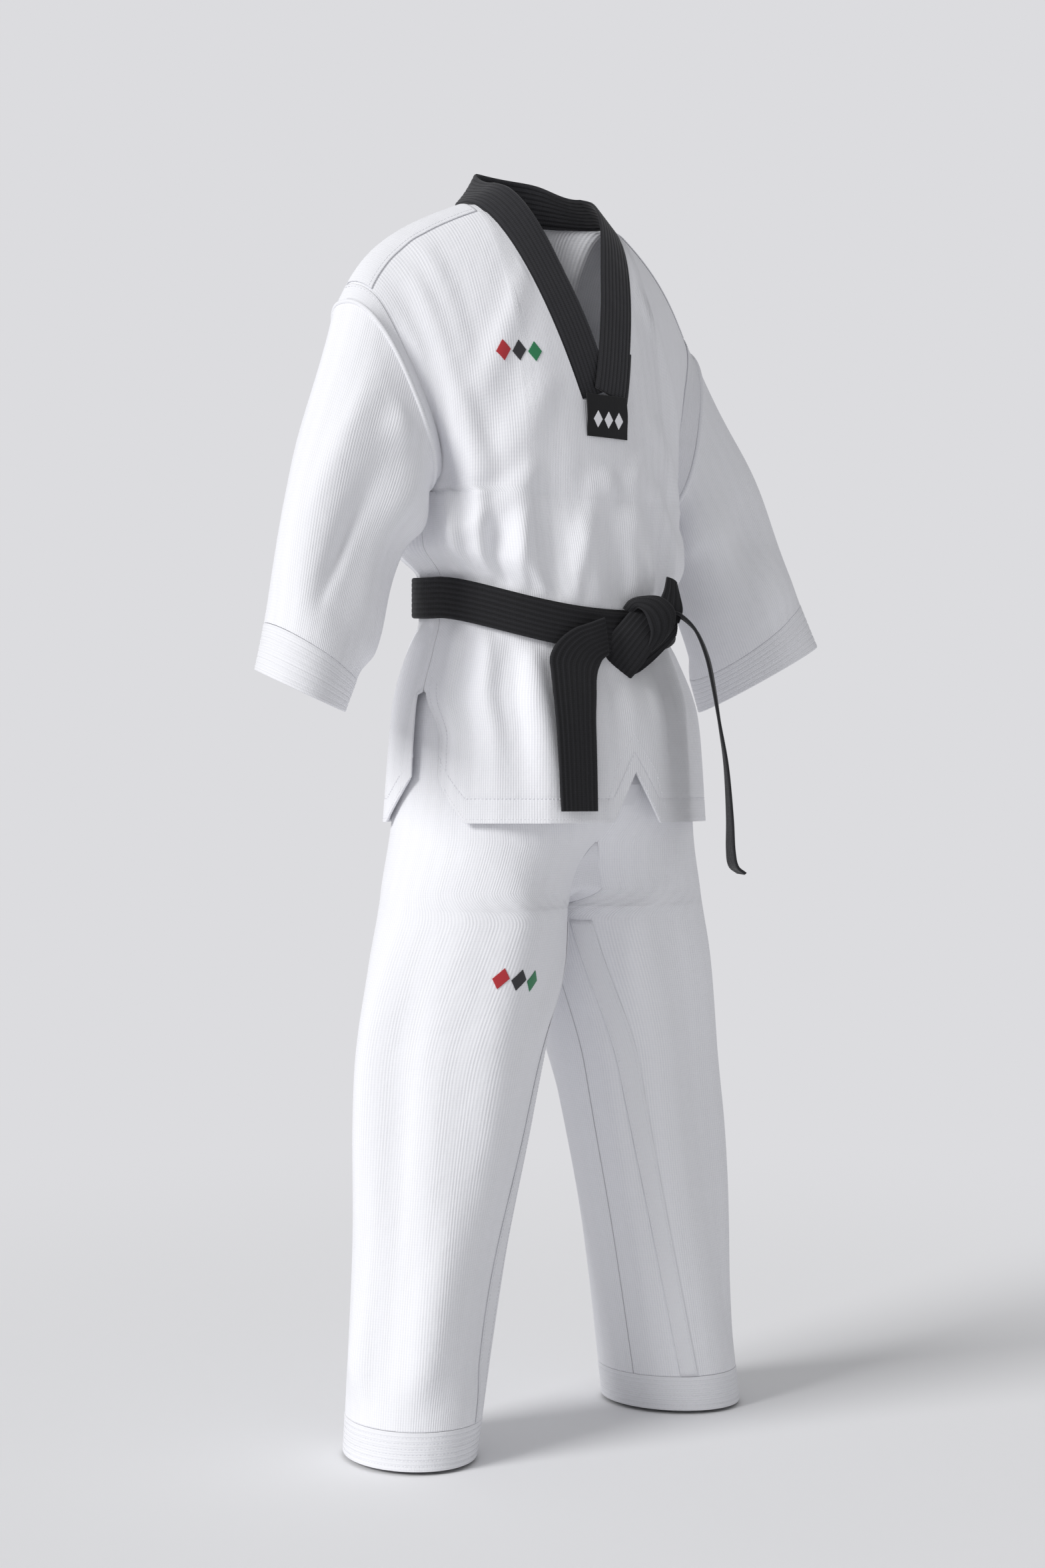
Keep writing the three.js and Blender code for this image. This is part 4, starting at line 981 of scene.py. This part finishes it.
# %% [markdown]
# ## The collar
# The collar is one long band, sewn round the neck edge. On the chest it lies flat along the V; behind the neck
# it stands. Rows of stitching quilt it into eight strips, and the wearer's left end crosses over the right one.

# %% Collar formulas
FRONT_PART = 0.55
COLLAR_GAP = 2.4
CHEST_LEAN, SIDE_LEAN = np.array([-0.949, 0, 0.316]), np.array([-0.8, -0.1, 0.58])
BACK_LEAN = np.array([0, -0.24, 0.97])


def collar(s, w):
    """The band leaves the neck edge in a direction that blends from BACK_LEAN over SIDE_LEAN to CHEST_LEAN."""
    share, side = np.abs(s), np.where(s < 0, -1.0, 1.0)
    x = lerp(NECK_SIDE, COLLAR_END_X, (share - 1 + FRONT_PART) / FRONT_PART)
    across = across_near(np.clip(x, 0, NECK_SIDE))
    on_chest = upper(across, neck_roll(across), False)
    round_neck = ridge(NECK_SIDE * np.sin(share / (1 - FRONT_PART) * np.pi / 2), True)
    edge = np.where((share >= 1 - FRONT_PART)[..., None], on_chest, round_neck)
    to_side = smooth(share / (1 - FRONT_PART))[..., None]
    to_chest = smooth((share - 1 + FRONT_PART) / (FRONT_PART * 0.45))[..., None]
    lean = unit(lerp(lerp(BACK_LEAN, SIDE_LEAN, to_side), CHEST_LEAN, to_chest))
    crossing = smooth((share - 0.8) / 0.2) * np.where(s > 0, -1.1, 1.1) * (BAND / 2 + GAP)
    point = edge + lean * (COLLAR_GAP + w * COLLAR_WIDTH)[..., None]
    return vector(side * point[..., 0], point[..., 1] + crossing, point[..., 2])


COLLAR_FOOT = -0.1  # the band's foot is sewn over the cloth's edge
collar_piece = band_cloth("collar_band_cloth", collar, steps(-0.999, 0.999, 260, 0.002),
                          steps(COLLAR_FOOT, 1, 68, 0.004), banded(STRIPS, BAND, 0.5), COLLAR)
dress(collar_piece, "black_collar", "jacket", "collar_band")

# %% [markdown]
# ## Labels and motifs
# A black satin label covers the crossed ends, and a small blank size label is sewn inside the back of the neck.
# The marks on the label, the chest and the thigh are plain diamonds of embroidery, which stand for no maker.


# %% Labels
def chest_at(x, z):
    """The front panel's plain surface above a point (x, z)."""
    return vector(x, upper(across_near(np.abs(x)), roll_at(z), False)[..., 1], z)


LABEL_WIDE, LABEL_TALL, LABEL_THICK = 58, 46, 1.0
LABEL_TOP = COLLAR_END_Z + 2
LABEL_FOOT = LABEL_TOP - LABEL_TALL
LIFT_AT_FOOT, LIFT_OVER_BANDS = CLOTH / 2 + GAP + 0.4, 4.6


def label_lift(x, z):
    """The label's height off the cloth: low at its foot, and up over the crossed bands by smoothstep."""
    return lerp(LIFT_AT_FOOT, LIFT_OVER_BANDS, smooth((z - LABEL_FOOT) / 30)) + 0 * x


neck_label = cloth("collar_label_cloth", chest_at, steps(-LABEL_WIDE / 2, LABEL_WIDE / 2, 30, 0.6),
                   steps(LABEL_FOOT, LABEL_TOP, 26, 0.6), label_lift,
                   lambda X, Z: label_lift(X, Z) + LABEL_THICK, LABEL)
dress(neck_label, "black_label", "jacket", "collar_label")


SATIN_STITCH = 0.6  # how high the embroidery stands


def diamonds(name, surface, centres, half_wide, half_tall, lift_of, colours, slot, body):
    """A row of raised embroidered diamonds: |p| + |q| <= 1 in each one's square, sampled on a turned grid."""
    for k, ((x, z), colour) in enumerate(zip(centres, colours)):
        def patch(a, b, x=x, z=z):
            return surface(x + (a - b) * half_wide / 2, z + (a + b) * half_tall / 2)

        def foot(a, b, x=x, z=z):
            return lift_of(x + 0 * a, z + (a + b) * half_tall / 2)

        def top(a, b, foot=foot):
            return foot(a, b) + SATIN_STITCH

        grid = steps(-1, 1, 12, 0.06)
        made = cloth(f"{name}_{k + 1}", patch, grid, grid, foot, top, colour)
        dress(made, slot, body)


label_middle = (LABEL_TOP + LABEL_FOOT) / 2 - 4
diamonds("label_motif", chest_at, [(-15, label_middle), (0, label_middle), (15, label_middle)], 6, 9,
         lambda x, z: label_lift(x, z) + LABEL_THICK + 0.05, [WHITE_THREAD] * 3, "black_label", "jacket")


def back_neck_at(x, roll):
    """The inside of the back panel near the neck, by distance from the middle and roll."""
    point = upper(across_near(np.abs(x)), roll, True)
    return vector(x, point[..., 1], point[..., 2])


size_label = cloth("size_label_cloth", back_neck_at, steps(-15.5, 15.5, 12, 0.5), steps(64, 87, 14, 0.4),
                   CLOTH / 2 + 0.5, CLOTH / 2 + 1.3, WHITE_LABEL)
dress(size_label, "white_label", "jacket", "size_label")


def chest_mark(x, z):
    """The draped front surface at a place on the chest: the panel's own (u, v) for x and z."""
    across = across_near(np.abs(x))
    limit = np.where(across < NECK_ACROSS, neck_roll(across) / 90, 1.0)
    return FRONT(np.sign(x) * across, 1 + roll_at(z) / 90 / limit)


def on_cloth(x, z):
    """Just above the cloth's outer face, everywhere."""
    return CLOTH / 2 + 0.1 + 0 * z


MOTIF_THREADS = [RED_THREAD, DARK_THREAD, GREEN_THREAD]
diamonds("chest_motif", chest_mark, [(-122, -166), (-104, -168), (-86, -170)], 8, 11, on_cloth, MOTIF_THREADS,
         "uniform_twill", "jacket")

# %% [markdown]
# ## The belt
# The belt goes twice round the waist and is tied in front in a flat knot. It is a strap 45 mm wide, stitched
# into eight strips. The wraps follow the waist. The knot is made of ribbons, each straight across between two edge
# curves, because that lets a strap fold over its neighbour without a hard corner.

# %% Belt wraps
WEBBING = 3.6
belt_half = banded(STRIPS, WEBBING, 0.45)
ACROSS_BELT = steps(0, 1, 56, 0.006)  # the grid's places across a strap of the knot or an end


def wrap(offset, sag):
    """The waist's own surface pushed out by offset, and lowered near the knot by sag times a bell."""
    def surface(angle, w):
        level = BELT_LEVEL + (w - 0.5) * BELT_WIDTH - sag * bump(((angle - 8 + 180) % 360) - 180, 40)
        point = torso(angle, level)
        ahead, behind = torso(angle + 0.5, level), torso(angle - 0.5, level)
        way = unit(ahead - behind)
        return point + unit(vector(-way[..., 1], way[..., 0], 0 * angle)) * -offset
    return surface


ANGLES = np.linspace(-180, 180, 241)
for name, offset, sag, replaced in (
        ("belt_first_wrap", 1.2 + WEBBING / 2, 0.0, "belt_inner_wrap"),
        ("belt_second_wrap", 1.2 + WEBBING * 1.5 + GAP, 2.5, "belt_outer_wrap")):
    piece = band_cloth(name, wrap(offset, sag), ANGLES, steps(0, 1, 64, 0.004), belt_half, BELT, loop=True)
    dress(piece, "belt_webbing", "jacket", replaced)

# %% The knot
low = np.minimum(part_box("belt_knot_turn")[0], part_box("belt_knot_loop")[0])
high = np.maximum(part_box("belt_knot_turn")[1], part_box("belt_knot_loop")[1])
KNOT = (np.array(low) + np.array(high)) / 2 / MM
print("knot centre", KNOT.round(1))


def curve(points, t):
    """A smooth curve (Catmull-Rom) through the points, for t from 0 to 1."""
    points = np.asarray(points, float)
    padded = np.concatenate([[2 * points[0] - points[1]], points, [2 * points[-1] - points[-2]]])
    at = np.clip(t, 0, 1) * (len(points) - 1)
    i = np.clip(at.astype(int), 0, len(points) - 2)
    f = (at - i)[..., None]
    a, b, c, d = (padded[i + k] for k in range(4))
    return 0.5 * (2 * b + (c - a) * f + (2 * a - 5 * b + 4 * c - d) * f**2 + (3 * b - a - 3 * c + d) * f**3)


def seen_from_front(across, up, off):
    """A point of the knot: across and up as the viewer sees it, and off towards the viewer, in mm."""
    return KNOT + ACROSS * across + np.array([0, 0, 1.0]) * up + TOWARDS * off


def ribbon(name, one_edge, other_edge, *replaced, crown=2.0, count=60):
    """A strap between two edge curves: straight across, with a crown of sin(pi w) in the middle."""
    first = [seen_from_front(*p) for p in one_edge]
    second = [seen_from_front(*p) for p in other_edge]

    def surface(t, w):
        a, b = curve(first, t), curve(second, t)
        middle = lerp(a, b, w[..., None])
        after, before = np.clip(t + 0.01, 0, 1), np.clip(t - 0.01, 0, 1)
        way = curve(first, after) - curve(first, before) + curve(second, after) - curve(second, before)
        out = unit(np.cross(way, b - a))
        out = out * np.sign((out * TOWARDS).sum(-1, keepdims=True) + 1e-6)
        return middle + out * (crown * np.sin(np.pi * np.clip(w, 0, 1)))[..., None]

    piece = band_cloth(name, surface, steps(0, 1, count, 0.01), ACROSS_BELT, belt_half, BELT)
    return dress(piece, "belt_webbing", "jacket", *replaced)


ribbon("belt_knot_band",
       [(-8, 22, 8), (-24, 3, 16), (-39, -14, 17), (-48, -27, 13), (-51, -33, 5), (-47, -33, -5)],
       [(27, -7, 6), (13, -24, 14), (1, -42, 15), (-8, -53, 11), (-12, -58, 3), (-7, -56, -5)],
       "belt_knot_turn", crown=3.0)
ribbon("belt_knot_over",
       [(-20, 19, -2), (-13, 27, 9), (3, 31, 12), (21, 30, 10), (35, 17, 6), (34, -1, 5), (22, -17, 7),
        (8, -28, 8)],
       [(-9, 15, 12), (-5, 18, 18), (-1, 15, 22), (3, 9, 24), (6, 0, 24), (8, -8, 23), (7, -17, 19),
        (4, -26, 14)],
       "belt_knot_loop", crown=3.5)
ribbon("belt_knot_under", [(-21, -48, 2), (-8, -53, 4), (8, -42, 3), (23, -27, 1), (36, -11, -4)],
       [(-10, -23, 5), (-1, -21, 6), (11, -14, 6), (24, -4, 4), (38, 8, -3)], count=40)
ribbon("belt_knot_rise", [(15, 10, 0), (19, 27, -2), (24, 40, -5), (27, 54, -10)],
       [(41, 3, -8), (45, 17, -10), (42, 32, -13), (38, 48, -17)], count=40)


# %% The belt's ends
def in_front(x, level, off):
    """A point off the front of the body, x from the middle: the torso's formula read backwards."""
    width = between(BODY, 1, level)

    def beside(at):
        """The body's point at the distance at from the middle."""
        turn = np.degrees(np.arcsin(np.clip(np.abs(at) / width, 0, 1) ** (1 / SQUARENESS)))
        return torso(np.sign(at) * turn, level)

    point = beside(x)
    way = unit(beside(x + 1) - beside(x - 1))
    return point + unit(vector(way[..., 1], -way[..., 0], 0 * x)) * np.asarray(off)[..., None]


# the front tail's two edges, from the knot over its folded shoulder to the end: x, level, distance off the body
TAIL_OUTER = np.array([
    (-30, -424, 19), (-46, -431, 18), (-63, -440, 17), (-77, -457, 16), (-87, -480, 15), (-90, -505, 14.5),
    (-93, -535, 14), (-94, -571, 14), (-94, -600, 14), (-94, -635, 14), (-94, -669, 14)], float)
TAIL_INNER = np.array([
    (-24, -468, 17), (-28, -471, 17), (-32, -476, 16), (-36, -484, 15.5), (-40, -495, 15), (-44, -512, 14.5),
    (-48, -538, 14), (-52, -571, 14), (-53, -600, 14), (-54, -635, 14), (-55, -669, 14)], float)
outer_edge, inner_edge = in_front(*TAIL_OUTER.T), in_front(*TAIL_INNER.T)


def front_tail(t, w):
    """The strap straight across between its two edges, with a low crown where it folds over by the knot."""
    a, b = curve(outer_edge, t), curve(inner_edge, t)
    crown = 2.5 * bump(t - 0.08, 0.12) * np.sin(np.pi * np.clip(w, 0, 1))
    return lerp(a, b, w[..., None]) + TOWARDS * crown[..., None]


front_strap = band_cloth("belt_front_tail_strap", front_tail, steps(0, 1, 100, 0.004), ACROSS_BELT, belt_half,
                         BELT)
dress(front_strap, "belt_webbing", None, "belt_front_end")
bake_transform(front_strap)

# the side tail hangs in an upright plane: its turn, where it stands along its normal, and (out, level) points
PLANE, PLANE_DEPTH = math.radians(40), -70
SIDE_END = np.array([
    (140, -452), (152, -456), (168, -472), (180, -500), (187, -532), (194, -575), (201, -620), (205, -675),
    (206, -712), (209, -730), (218, -738)])
SIDE_TWIST = 3.0
UP = np.array([0, 0, 1.0])
plane_out = np.array([math.cos(PLANE), -math.sin(PLANE), 0])
plane_way = np.array([math.sin(PLANE), math.cos(PLANE), 0])
side_points = plane_out * SIDE_END[:, :1] + plane_way * PLANE_DEPTH + UP * SIDE_END[:, 1:]


def side_tail(t, w):
    """The strap along its curve, its width along the plane's normal, its edges twisted by up to SIDE_TWIST."""
    twist = SIDE_TWIST * np.sin(np.pi * 1.6 * t) * (w - 0.5) * 2
    return curve(side_points, t) + plane_way * ((w - 0.5) * BELT_WIDTH)[..., None] + np.cross(
        plane_way, UP) * twist[..., None]


side_strap = band_cloth("belt_side_tail_strap", side_tail, steps(0, 1, 110, 0.004), ACROSS_BELT, belt_half,
                        BELT)
dress(side_strap, "belt_webbing", "belt_side_tail", "belt_side_end")

# %% [markdown]
# ## Trousers
# Each half of the trousers is one cloth from the waistband to the hem band: it starts as the body's own rounded
# shape and parts into a tube for the leg. A diamond gusset joins the two between the thighs. The cloth crosses
# the hip: its shape follows the waist above and the leg below, and nothing makes it bend with the leg.

# %% Trouser formulas
CROTCH, BLEND_TOP, LEG_TOP, TROUSER_HEM, HEM_BAND = -762, -600, -792, -1360, 40
LEGS = [(-1360, 189, 69, 84), (-1150, 162, 83, 80), (-1000, 140, 96, 86), (-835, 114, 105, 101),
        (-762, 100, 102, 106), (-600, 72, 104, 122)]
TOE_OUT, LEFT_SPLAY = 15, 8  # degrees that the feet turn out, and mm that the left leg stands further out
GUSSET_TOP, GUSSET_WIDEST, GUSSET_WIDE = -702, -756, 0.085  # its levels, and its share of the way round the leg
SEAM, EDGE = 0.35, 0.0008  # half the gap between the halves, and the cut edge's share of the way round
WAISTBAND_FOOT = -454
EASE_BELOW, EASE_AT_WAIST = 7, 4.4  # how far inside the jacket the trousers lie


def leg(side, u, z):
    """An oval round the leg's centre, opened where it meets the middle, and turned out by the toe angle."""
    splay = LEFT_SPLAY * np.clip((CROTCH - z) / (CROTCH - TROUSER_HEM), 0, 1) if side > 0 else 0
    centre, width, depth = between(LEGS, 1, z) + splay, between(LEGS, 2, z), between(LEGS, 3, z)
    opening = np.arccos(np.clip((centre - SEAM) / width, -1, 1))
    turn = opening + (2 * np.pi - 2 * opening) * u
    dx, dy = -width * np.cos(turn), -depth * np.sin(turn)
    toe = math.radians(TOE_OUT) * smooth((CROTCH - z) / 200)
    x, y = centre + dx * np.cos(toe) - dy * np.sin(toe), dx * np.sin(toe) + dy * np.cos(toe)
    return vector(np.maximum(x, SEAM), y, z)


def trousers(side, u, z):
    """The body's section a little inside the jacket, blended into the leg's oval below the hips."""
    ease = lerp(EASE_BELOW, EASE_AT_WAIST, smooth((z + 500) / 50))
    body = torso(u * 180, np.maximum(z, HEM_LEVEL), ease)
    body = vector(np.maximum(body[..., 0], SEAM), body[..., 1], np.where(z < HEM_LEVEL, z, body[..., 2]))
    part = smooth((BLEND_TOP - z) / (BLEND_TOP - CROTCH)) ** 1.4
    return lerp(body, leg(side, u, z), part[..., None]) * [side, 1, 1]


def gusset_reach(z):
    """How far the gusset reaches into the thigh, as a share of the way round: evenly out to its widest level and
    back by smoothstep."""
    upper_part = lerp(EDGE, GUSSET_WIDE, (GUSSET_TOP - z) / (GUSSET_TOP - GUSSET_WIDEST))
    lower_part = lerp(GUSSET_WIDE, EDGE, smooth((GUSSET_WIDEST - z) / (GUSSET_WIDEST - LEG_TOP)))
    return np.where(z > GUSSET_TOP, EDGE, np.where(z > GUSSET_WIDEST, upper_part, lower_part))


# place round the leg, height, spread round, spread in height, size in mm, slope round per mm
LEG_FOLDS = {
    RIGHT: [(0.24, -900, 0.05, 190, 4.5, 0.0002), (0.40, -1010, 0.045, 170, -4.0, 0.0001),
            (0.12, -860, 0.04, 90, 3.0, -0.0006), (0.30, -1220, 0.05, 120, 4.0, -0.0002),
            (0.16, -1180, 0.045, 130, -3.5, 0.0), (0.5, -950, 0.05, 150, 4, 0.0),
            (0.66, -1000, 0.06, 200, -5, 0.0), (0.80, -900, 0.05, 140, 5, 0.0003),
            (0.47, -1270, 0.04, 90, 4, 0.0)],
    LEFT: [(0.24, -930, 0.05, 190, -4.0, 0.0), (0.34, -1080, 0.045, 190, 4.5, 0.0001),
           (0.46, -960, 0.045, 170, -4.0, 0.0), (0.14, -850, 0.04, 80, 3.0, 0.0005),
           (0.30, -1250, 0.04, 100, -3.0, 0.0), (0.05, -1050, 0.04, 160, 3.0, 0.0),
           (0.66, -1000, 0.06, 200, -5, 0.0), (0.80, -900, 0.05, 140, 5, 0.0003)]}
LEG_FULLNESS = 2.6  # every fold is drawn this many times its written height
FOLDS_TOP = -690  # the leg's folds start below this level


def trouser_cloth(side, cut=True):
    """One half of the trousers with its folds. Where cut, u = 0 and 1 are the edges that meet the gusset."""
    def surface(u, z):
        reach = gusset_reach(z) if cut else 0
        share = lerp(reach, 1 - reach, u) if cut else u
        point = trousers(side, share, z)
        height = 0 * z + 0.0 * u
        for at, level, wide, tall, size, slope in LEG_FOLDS[side]:
            ridge_here = bump(share - at - slope * (z - level), wide)
            height = height + LEG_FULLNESS * size * ridge_here * bump(z - level, tall)
        height = height * smooth((FOLDS_TOP - z) / 90) * smooth((z - TROUSER_HEM - 46) / 60)
        height = height * smooth(np.minimum(share, 1 - share) / 0.06)
        centre = vector(side * (between(LEGS, 1, z) + 0 * u), 0.0, z)
        return point + unit(point - centre) * height[..., None]
    return surface


TAPE_AT_HEM, TAPE_AT_TOP = 0.115, 0.055  # where the tape's edge lies, as a share of the way round the leg


def leg_tape(plain_leg):
    """The leg's surface along its inner seam tape: w is the share of the way round past the tape's edge, which
    slants by a plain blend from TAPE_AT_HEM to TAPE_AT_TOP."""
    def surface(w, z):
        return plain_leg(lerp(TAPE_AT_HEM, TAPE_AT_TOP, (z - TROUSER_HEM) / (LEG_TOP - TROUSER_HEM)) + w, z)
    return surface


def bend_at_hip(piece):
    """Bakes the piece's place into its mesh; nothing makes it follow the waist or the leg, or bend between the
    two.
    """
    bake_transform(piece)


# %% Trouser pieces
HEM_TOP = TROUSER_HEM + HEM_BAND
HEIGHTS = np.concatenate([[WAISTBAND_FOOT - SEAM], np.linspace(-460, -660, 28), np.linspace(-668, -800, 34),
                          np.linspace(-806, HEM_TOP + 2, 86), [HEM_TOP + 0.5]])
ROUND_LEG = np.concatenate([[0, 0.003], np.linspace(0.01, 0.99, 118), [0.997, 1]])
TAPE_WIDE = np.array([0, 0.001, 0.02, 0.039, 0.04])
TAPE_LINE = np.linspace(LEG_TOP - 2, HEM_TOP + 3, 300)
for label, side in SIDES:
    leg_body = f"{label}_trouser_leg"
    made = cloth(f"{label}_trouser_cloth", trouser_cloth(side), ROUND_LEG, HEIGHTS, -CLOTH / 2, CLOTH / 2,
                 TWILL)
    dress(made, "uniform_twill", None, f"{label}_hip_panel", f"{label}_thigh", f"{label}_leg")
    bend_at_hip(made)
    plain_leg = trouser_cloth(side, cut=False)
    hem_band = cloth(f"{label}_trouser_hem", plain_leg, np.linspace(0, 1, 121),
                     steps(TROUSER_HEM, HEM_TOP, 72, 0.4),
                     quilted(TROUSER_HEM, HEM_TOP, BAND_THICK, 0.5, -1),
                     quilted(TROUSER_HEM, HEM_TOP, BAND_THICK, 0.5, 1), QUILTED, loop=True, turned=True)
    dress(hem_band, "quilted_band", leg_body, f"{label}_hem_band")
    sewing = stitches(f"{label}_hem_stitches", plain_leg, once_round(TROUSER_HEM, HEM_TOP, 0, 1),
                      side * ROW_LIFT, WHITE_THREAD)
    dress(sewing, "quilted_band", leg_body)
    slanted = leg_tape(plain_leg)
    low, high = sorted((side * NEAR, side * (NEAR + 0.9)))
    strip = cloth(f"{label}_leg_tape", slanted, TAPE_WIDE, np.linspace(LEG_TOP, HEM_TOP + 1, 90), low, high,
                  TAPE)
    dress(strip, "white_tape", leg_body, f"{label}_leg_seam_tape")
    sewing = stitches(f"{label}_leg_tape_stitches", slanted,
                      [(0 * TAPE_LINE + 0.005, TAPE_LINE), (0 * TAPE_LINE + 0.035, TAPE_LINE)],
                      side * (NEAR + 1.0), WHITE_THREAD)
    dress(sewing, "white_tape", leg_body)

# %% [markdown]
# ## The gusset
# The gusset is cut as a long diamond of diagonal twill. Here it is two halves that lap at the middle, each
# shaped to its own leg; neither half is made to follow a leg or to open the lap when the legs spread.

# %% Gusset
# the levels where the gusset's edge is set: few where it runs straight, close together round its lower corner
GUSSET_LEVELS = [-702, -729, -756, -760, -765, -770, -774, -779, -784, -788, -791.6]
GUSSET_LINE = [(z, 0) for z in GUSSET_LEVELS] + [(z, 1) for z in reversed(GUSSET_LEVELS)]
LAP, LAP_DEPTH = 0.95, 1.5  # each half laps under the other by this share of its width, this deep (mm)
GUSSET_TUCK = 1.1  # the gusset's edge lies this share of its width out, just under the thigh's cloth


def gusset(side):
    """Straight lines from the middle fold to the thigh's edge, and past the fold by LAP, between stations that
    run down the front and up the back."""
    heights, behind = np.array(GUSSET_LINE, float).T

    def surface(q, s):
        i = np.clip(q.astype(int), 0, len(heights) - 2)
        ends = []
        for k in (i, i + 1):
            reach = gusset_reach(heights[k])
            edge = trousers(side, np.where(behind[k] > 0, 1 - reach, reach), heights[k])
            depth = np.clip((GUSSET_TOP - heights[k]) / (GUSSET_TOP - LEG_TOP), 0, 1)
            fold = vector(0 * depth, edge[..., 1], edge[..., 2] + 12 * depth**2)
            ends.append(lerp(fold, edge, (np.abs(s) * GUSSET_TUCK)[..., None]))
        point = lerp(ends[0], ends[1], (q - i)[..., None])
        lapped = LAP_DEPTH * smooth(-s / 0.08)
        inward = np.sign(point[..., 1]) * lapped * 0.6
        return vector(np.where(s < 0, -1, 1) * point[..., 0], point[..., 1] - inward, point[..., 2] + lapped)
    return surface


for label, side in SIDES:
    half = cloth(f"gusset_{label}_half", gusset(side), np.linspace(0.05, len(GUSSET_LINE) - 1.05, 120),
                 np.linspace(-LAP, 1, 27), -0.5, 0.5, GUSSET_TWILL)
    dress(half, "uniform_twill", None, *(["crotch_gusset"] if side == RIGHT else []))
    bend_at_hip(half)


# %% Seat seams
RISE_HALF, RISE_LIFT = 3.5, 0.9  # the strip's half width, and its height off the cloth's middle


def rise_seam(back):
    """A narrow strip over the seam between the trouser halves, just outside the cloth on the middle line."""
    def surface(x, z):
        depth = trousers(1, np.full(z.shape, 1 - EDGE if back else EDGE), z)[..., 1]
        return vector(x, depth + (RISE_LIFT if back else -RISE_LIFT), z)
    return surface


for name, behind in (("front_rise_seam", False), ("back_rise_seam", True)):
    strip = cloth(name, rise_seam(behind), steps(-RISE_HALF, RISE_HALF, 6), steps(-655, -706, 30), -0.5, 0.5,
                  TAPE)
    dress(strip, "white_tape", "trousers")


# %% Thigh motif
LEG_FRONT, THIGH_ROUND = 0.25, 620  # the front line's share of the way round, and the thigh's girth in mm


def thigh_mark(x, z):
    """The right leg's draped surface at a distance x round its front, in mm from the leg's front line."""
    return trouser_cloth(RIGHT, cut=False)(LEG_FRONT - x / THIGH_ROUND, z)


diamonds("thigh_motif", thigh_mark, [(-18, -846), (0, -848), (18, -850)], 8, 11, on_cloth, MOTIF_THREADS,
         "uniform_twill", "right_trouser_leg")

# %% [markdown]
# ## Hidden parts
# The waistband, its elastic and the rise tapes lie under the jacket, and show only when the trousers are pulled
# down. Their CAD solids already have the right shape, so they keep it and only get their cloth.

# %% Hidden parts
for name, material in (("trouser_waistband", TAPE), ("waist_elastic", ELASTIC), ("front_rise_tape", TAPE),
                       ("back_rise_tape", TAPE)):
    solid = bpy.data.objects[name]
    solid.data.materials.clear()
    solid.data.materials.append(material)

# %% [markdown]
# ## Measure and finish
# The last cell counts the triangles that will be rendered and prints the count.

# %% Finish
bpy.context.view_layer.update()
triangles = sum(len(o.data.polygons) * 2 for o in bpy.data.objects if o.type == "MESH" and not o.hide_render)
print("triangles:", triangles)
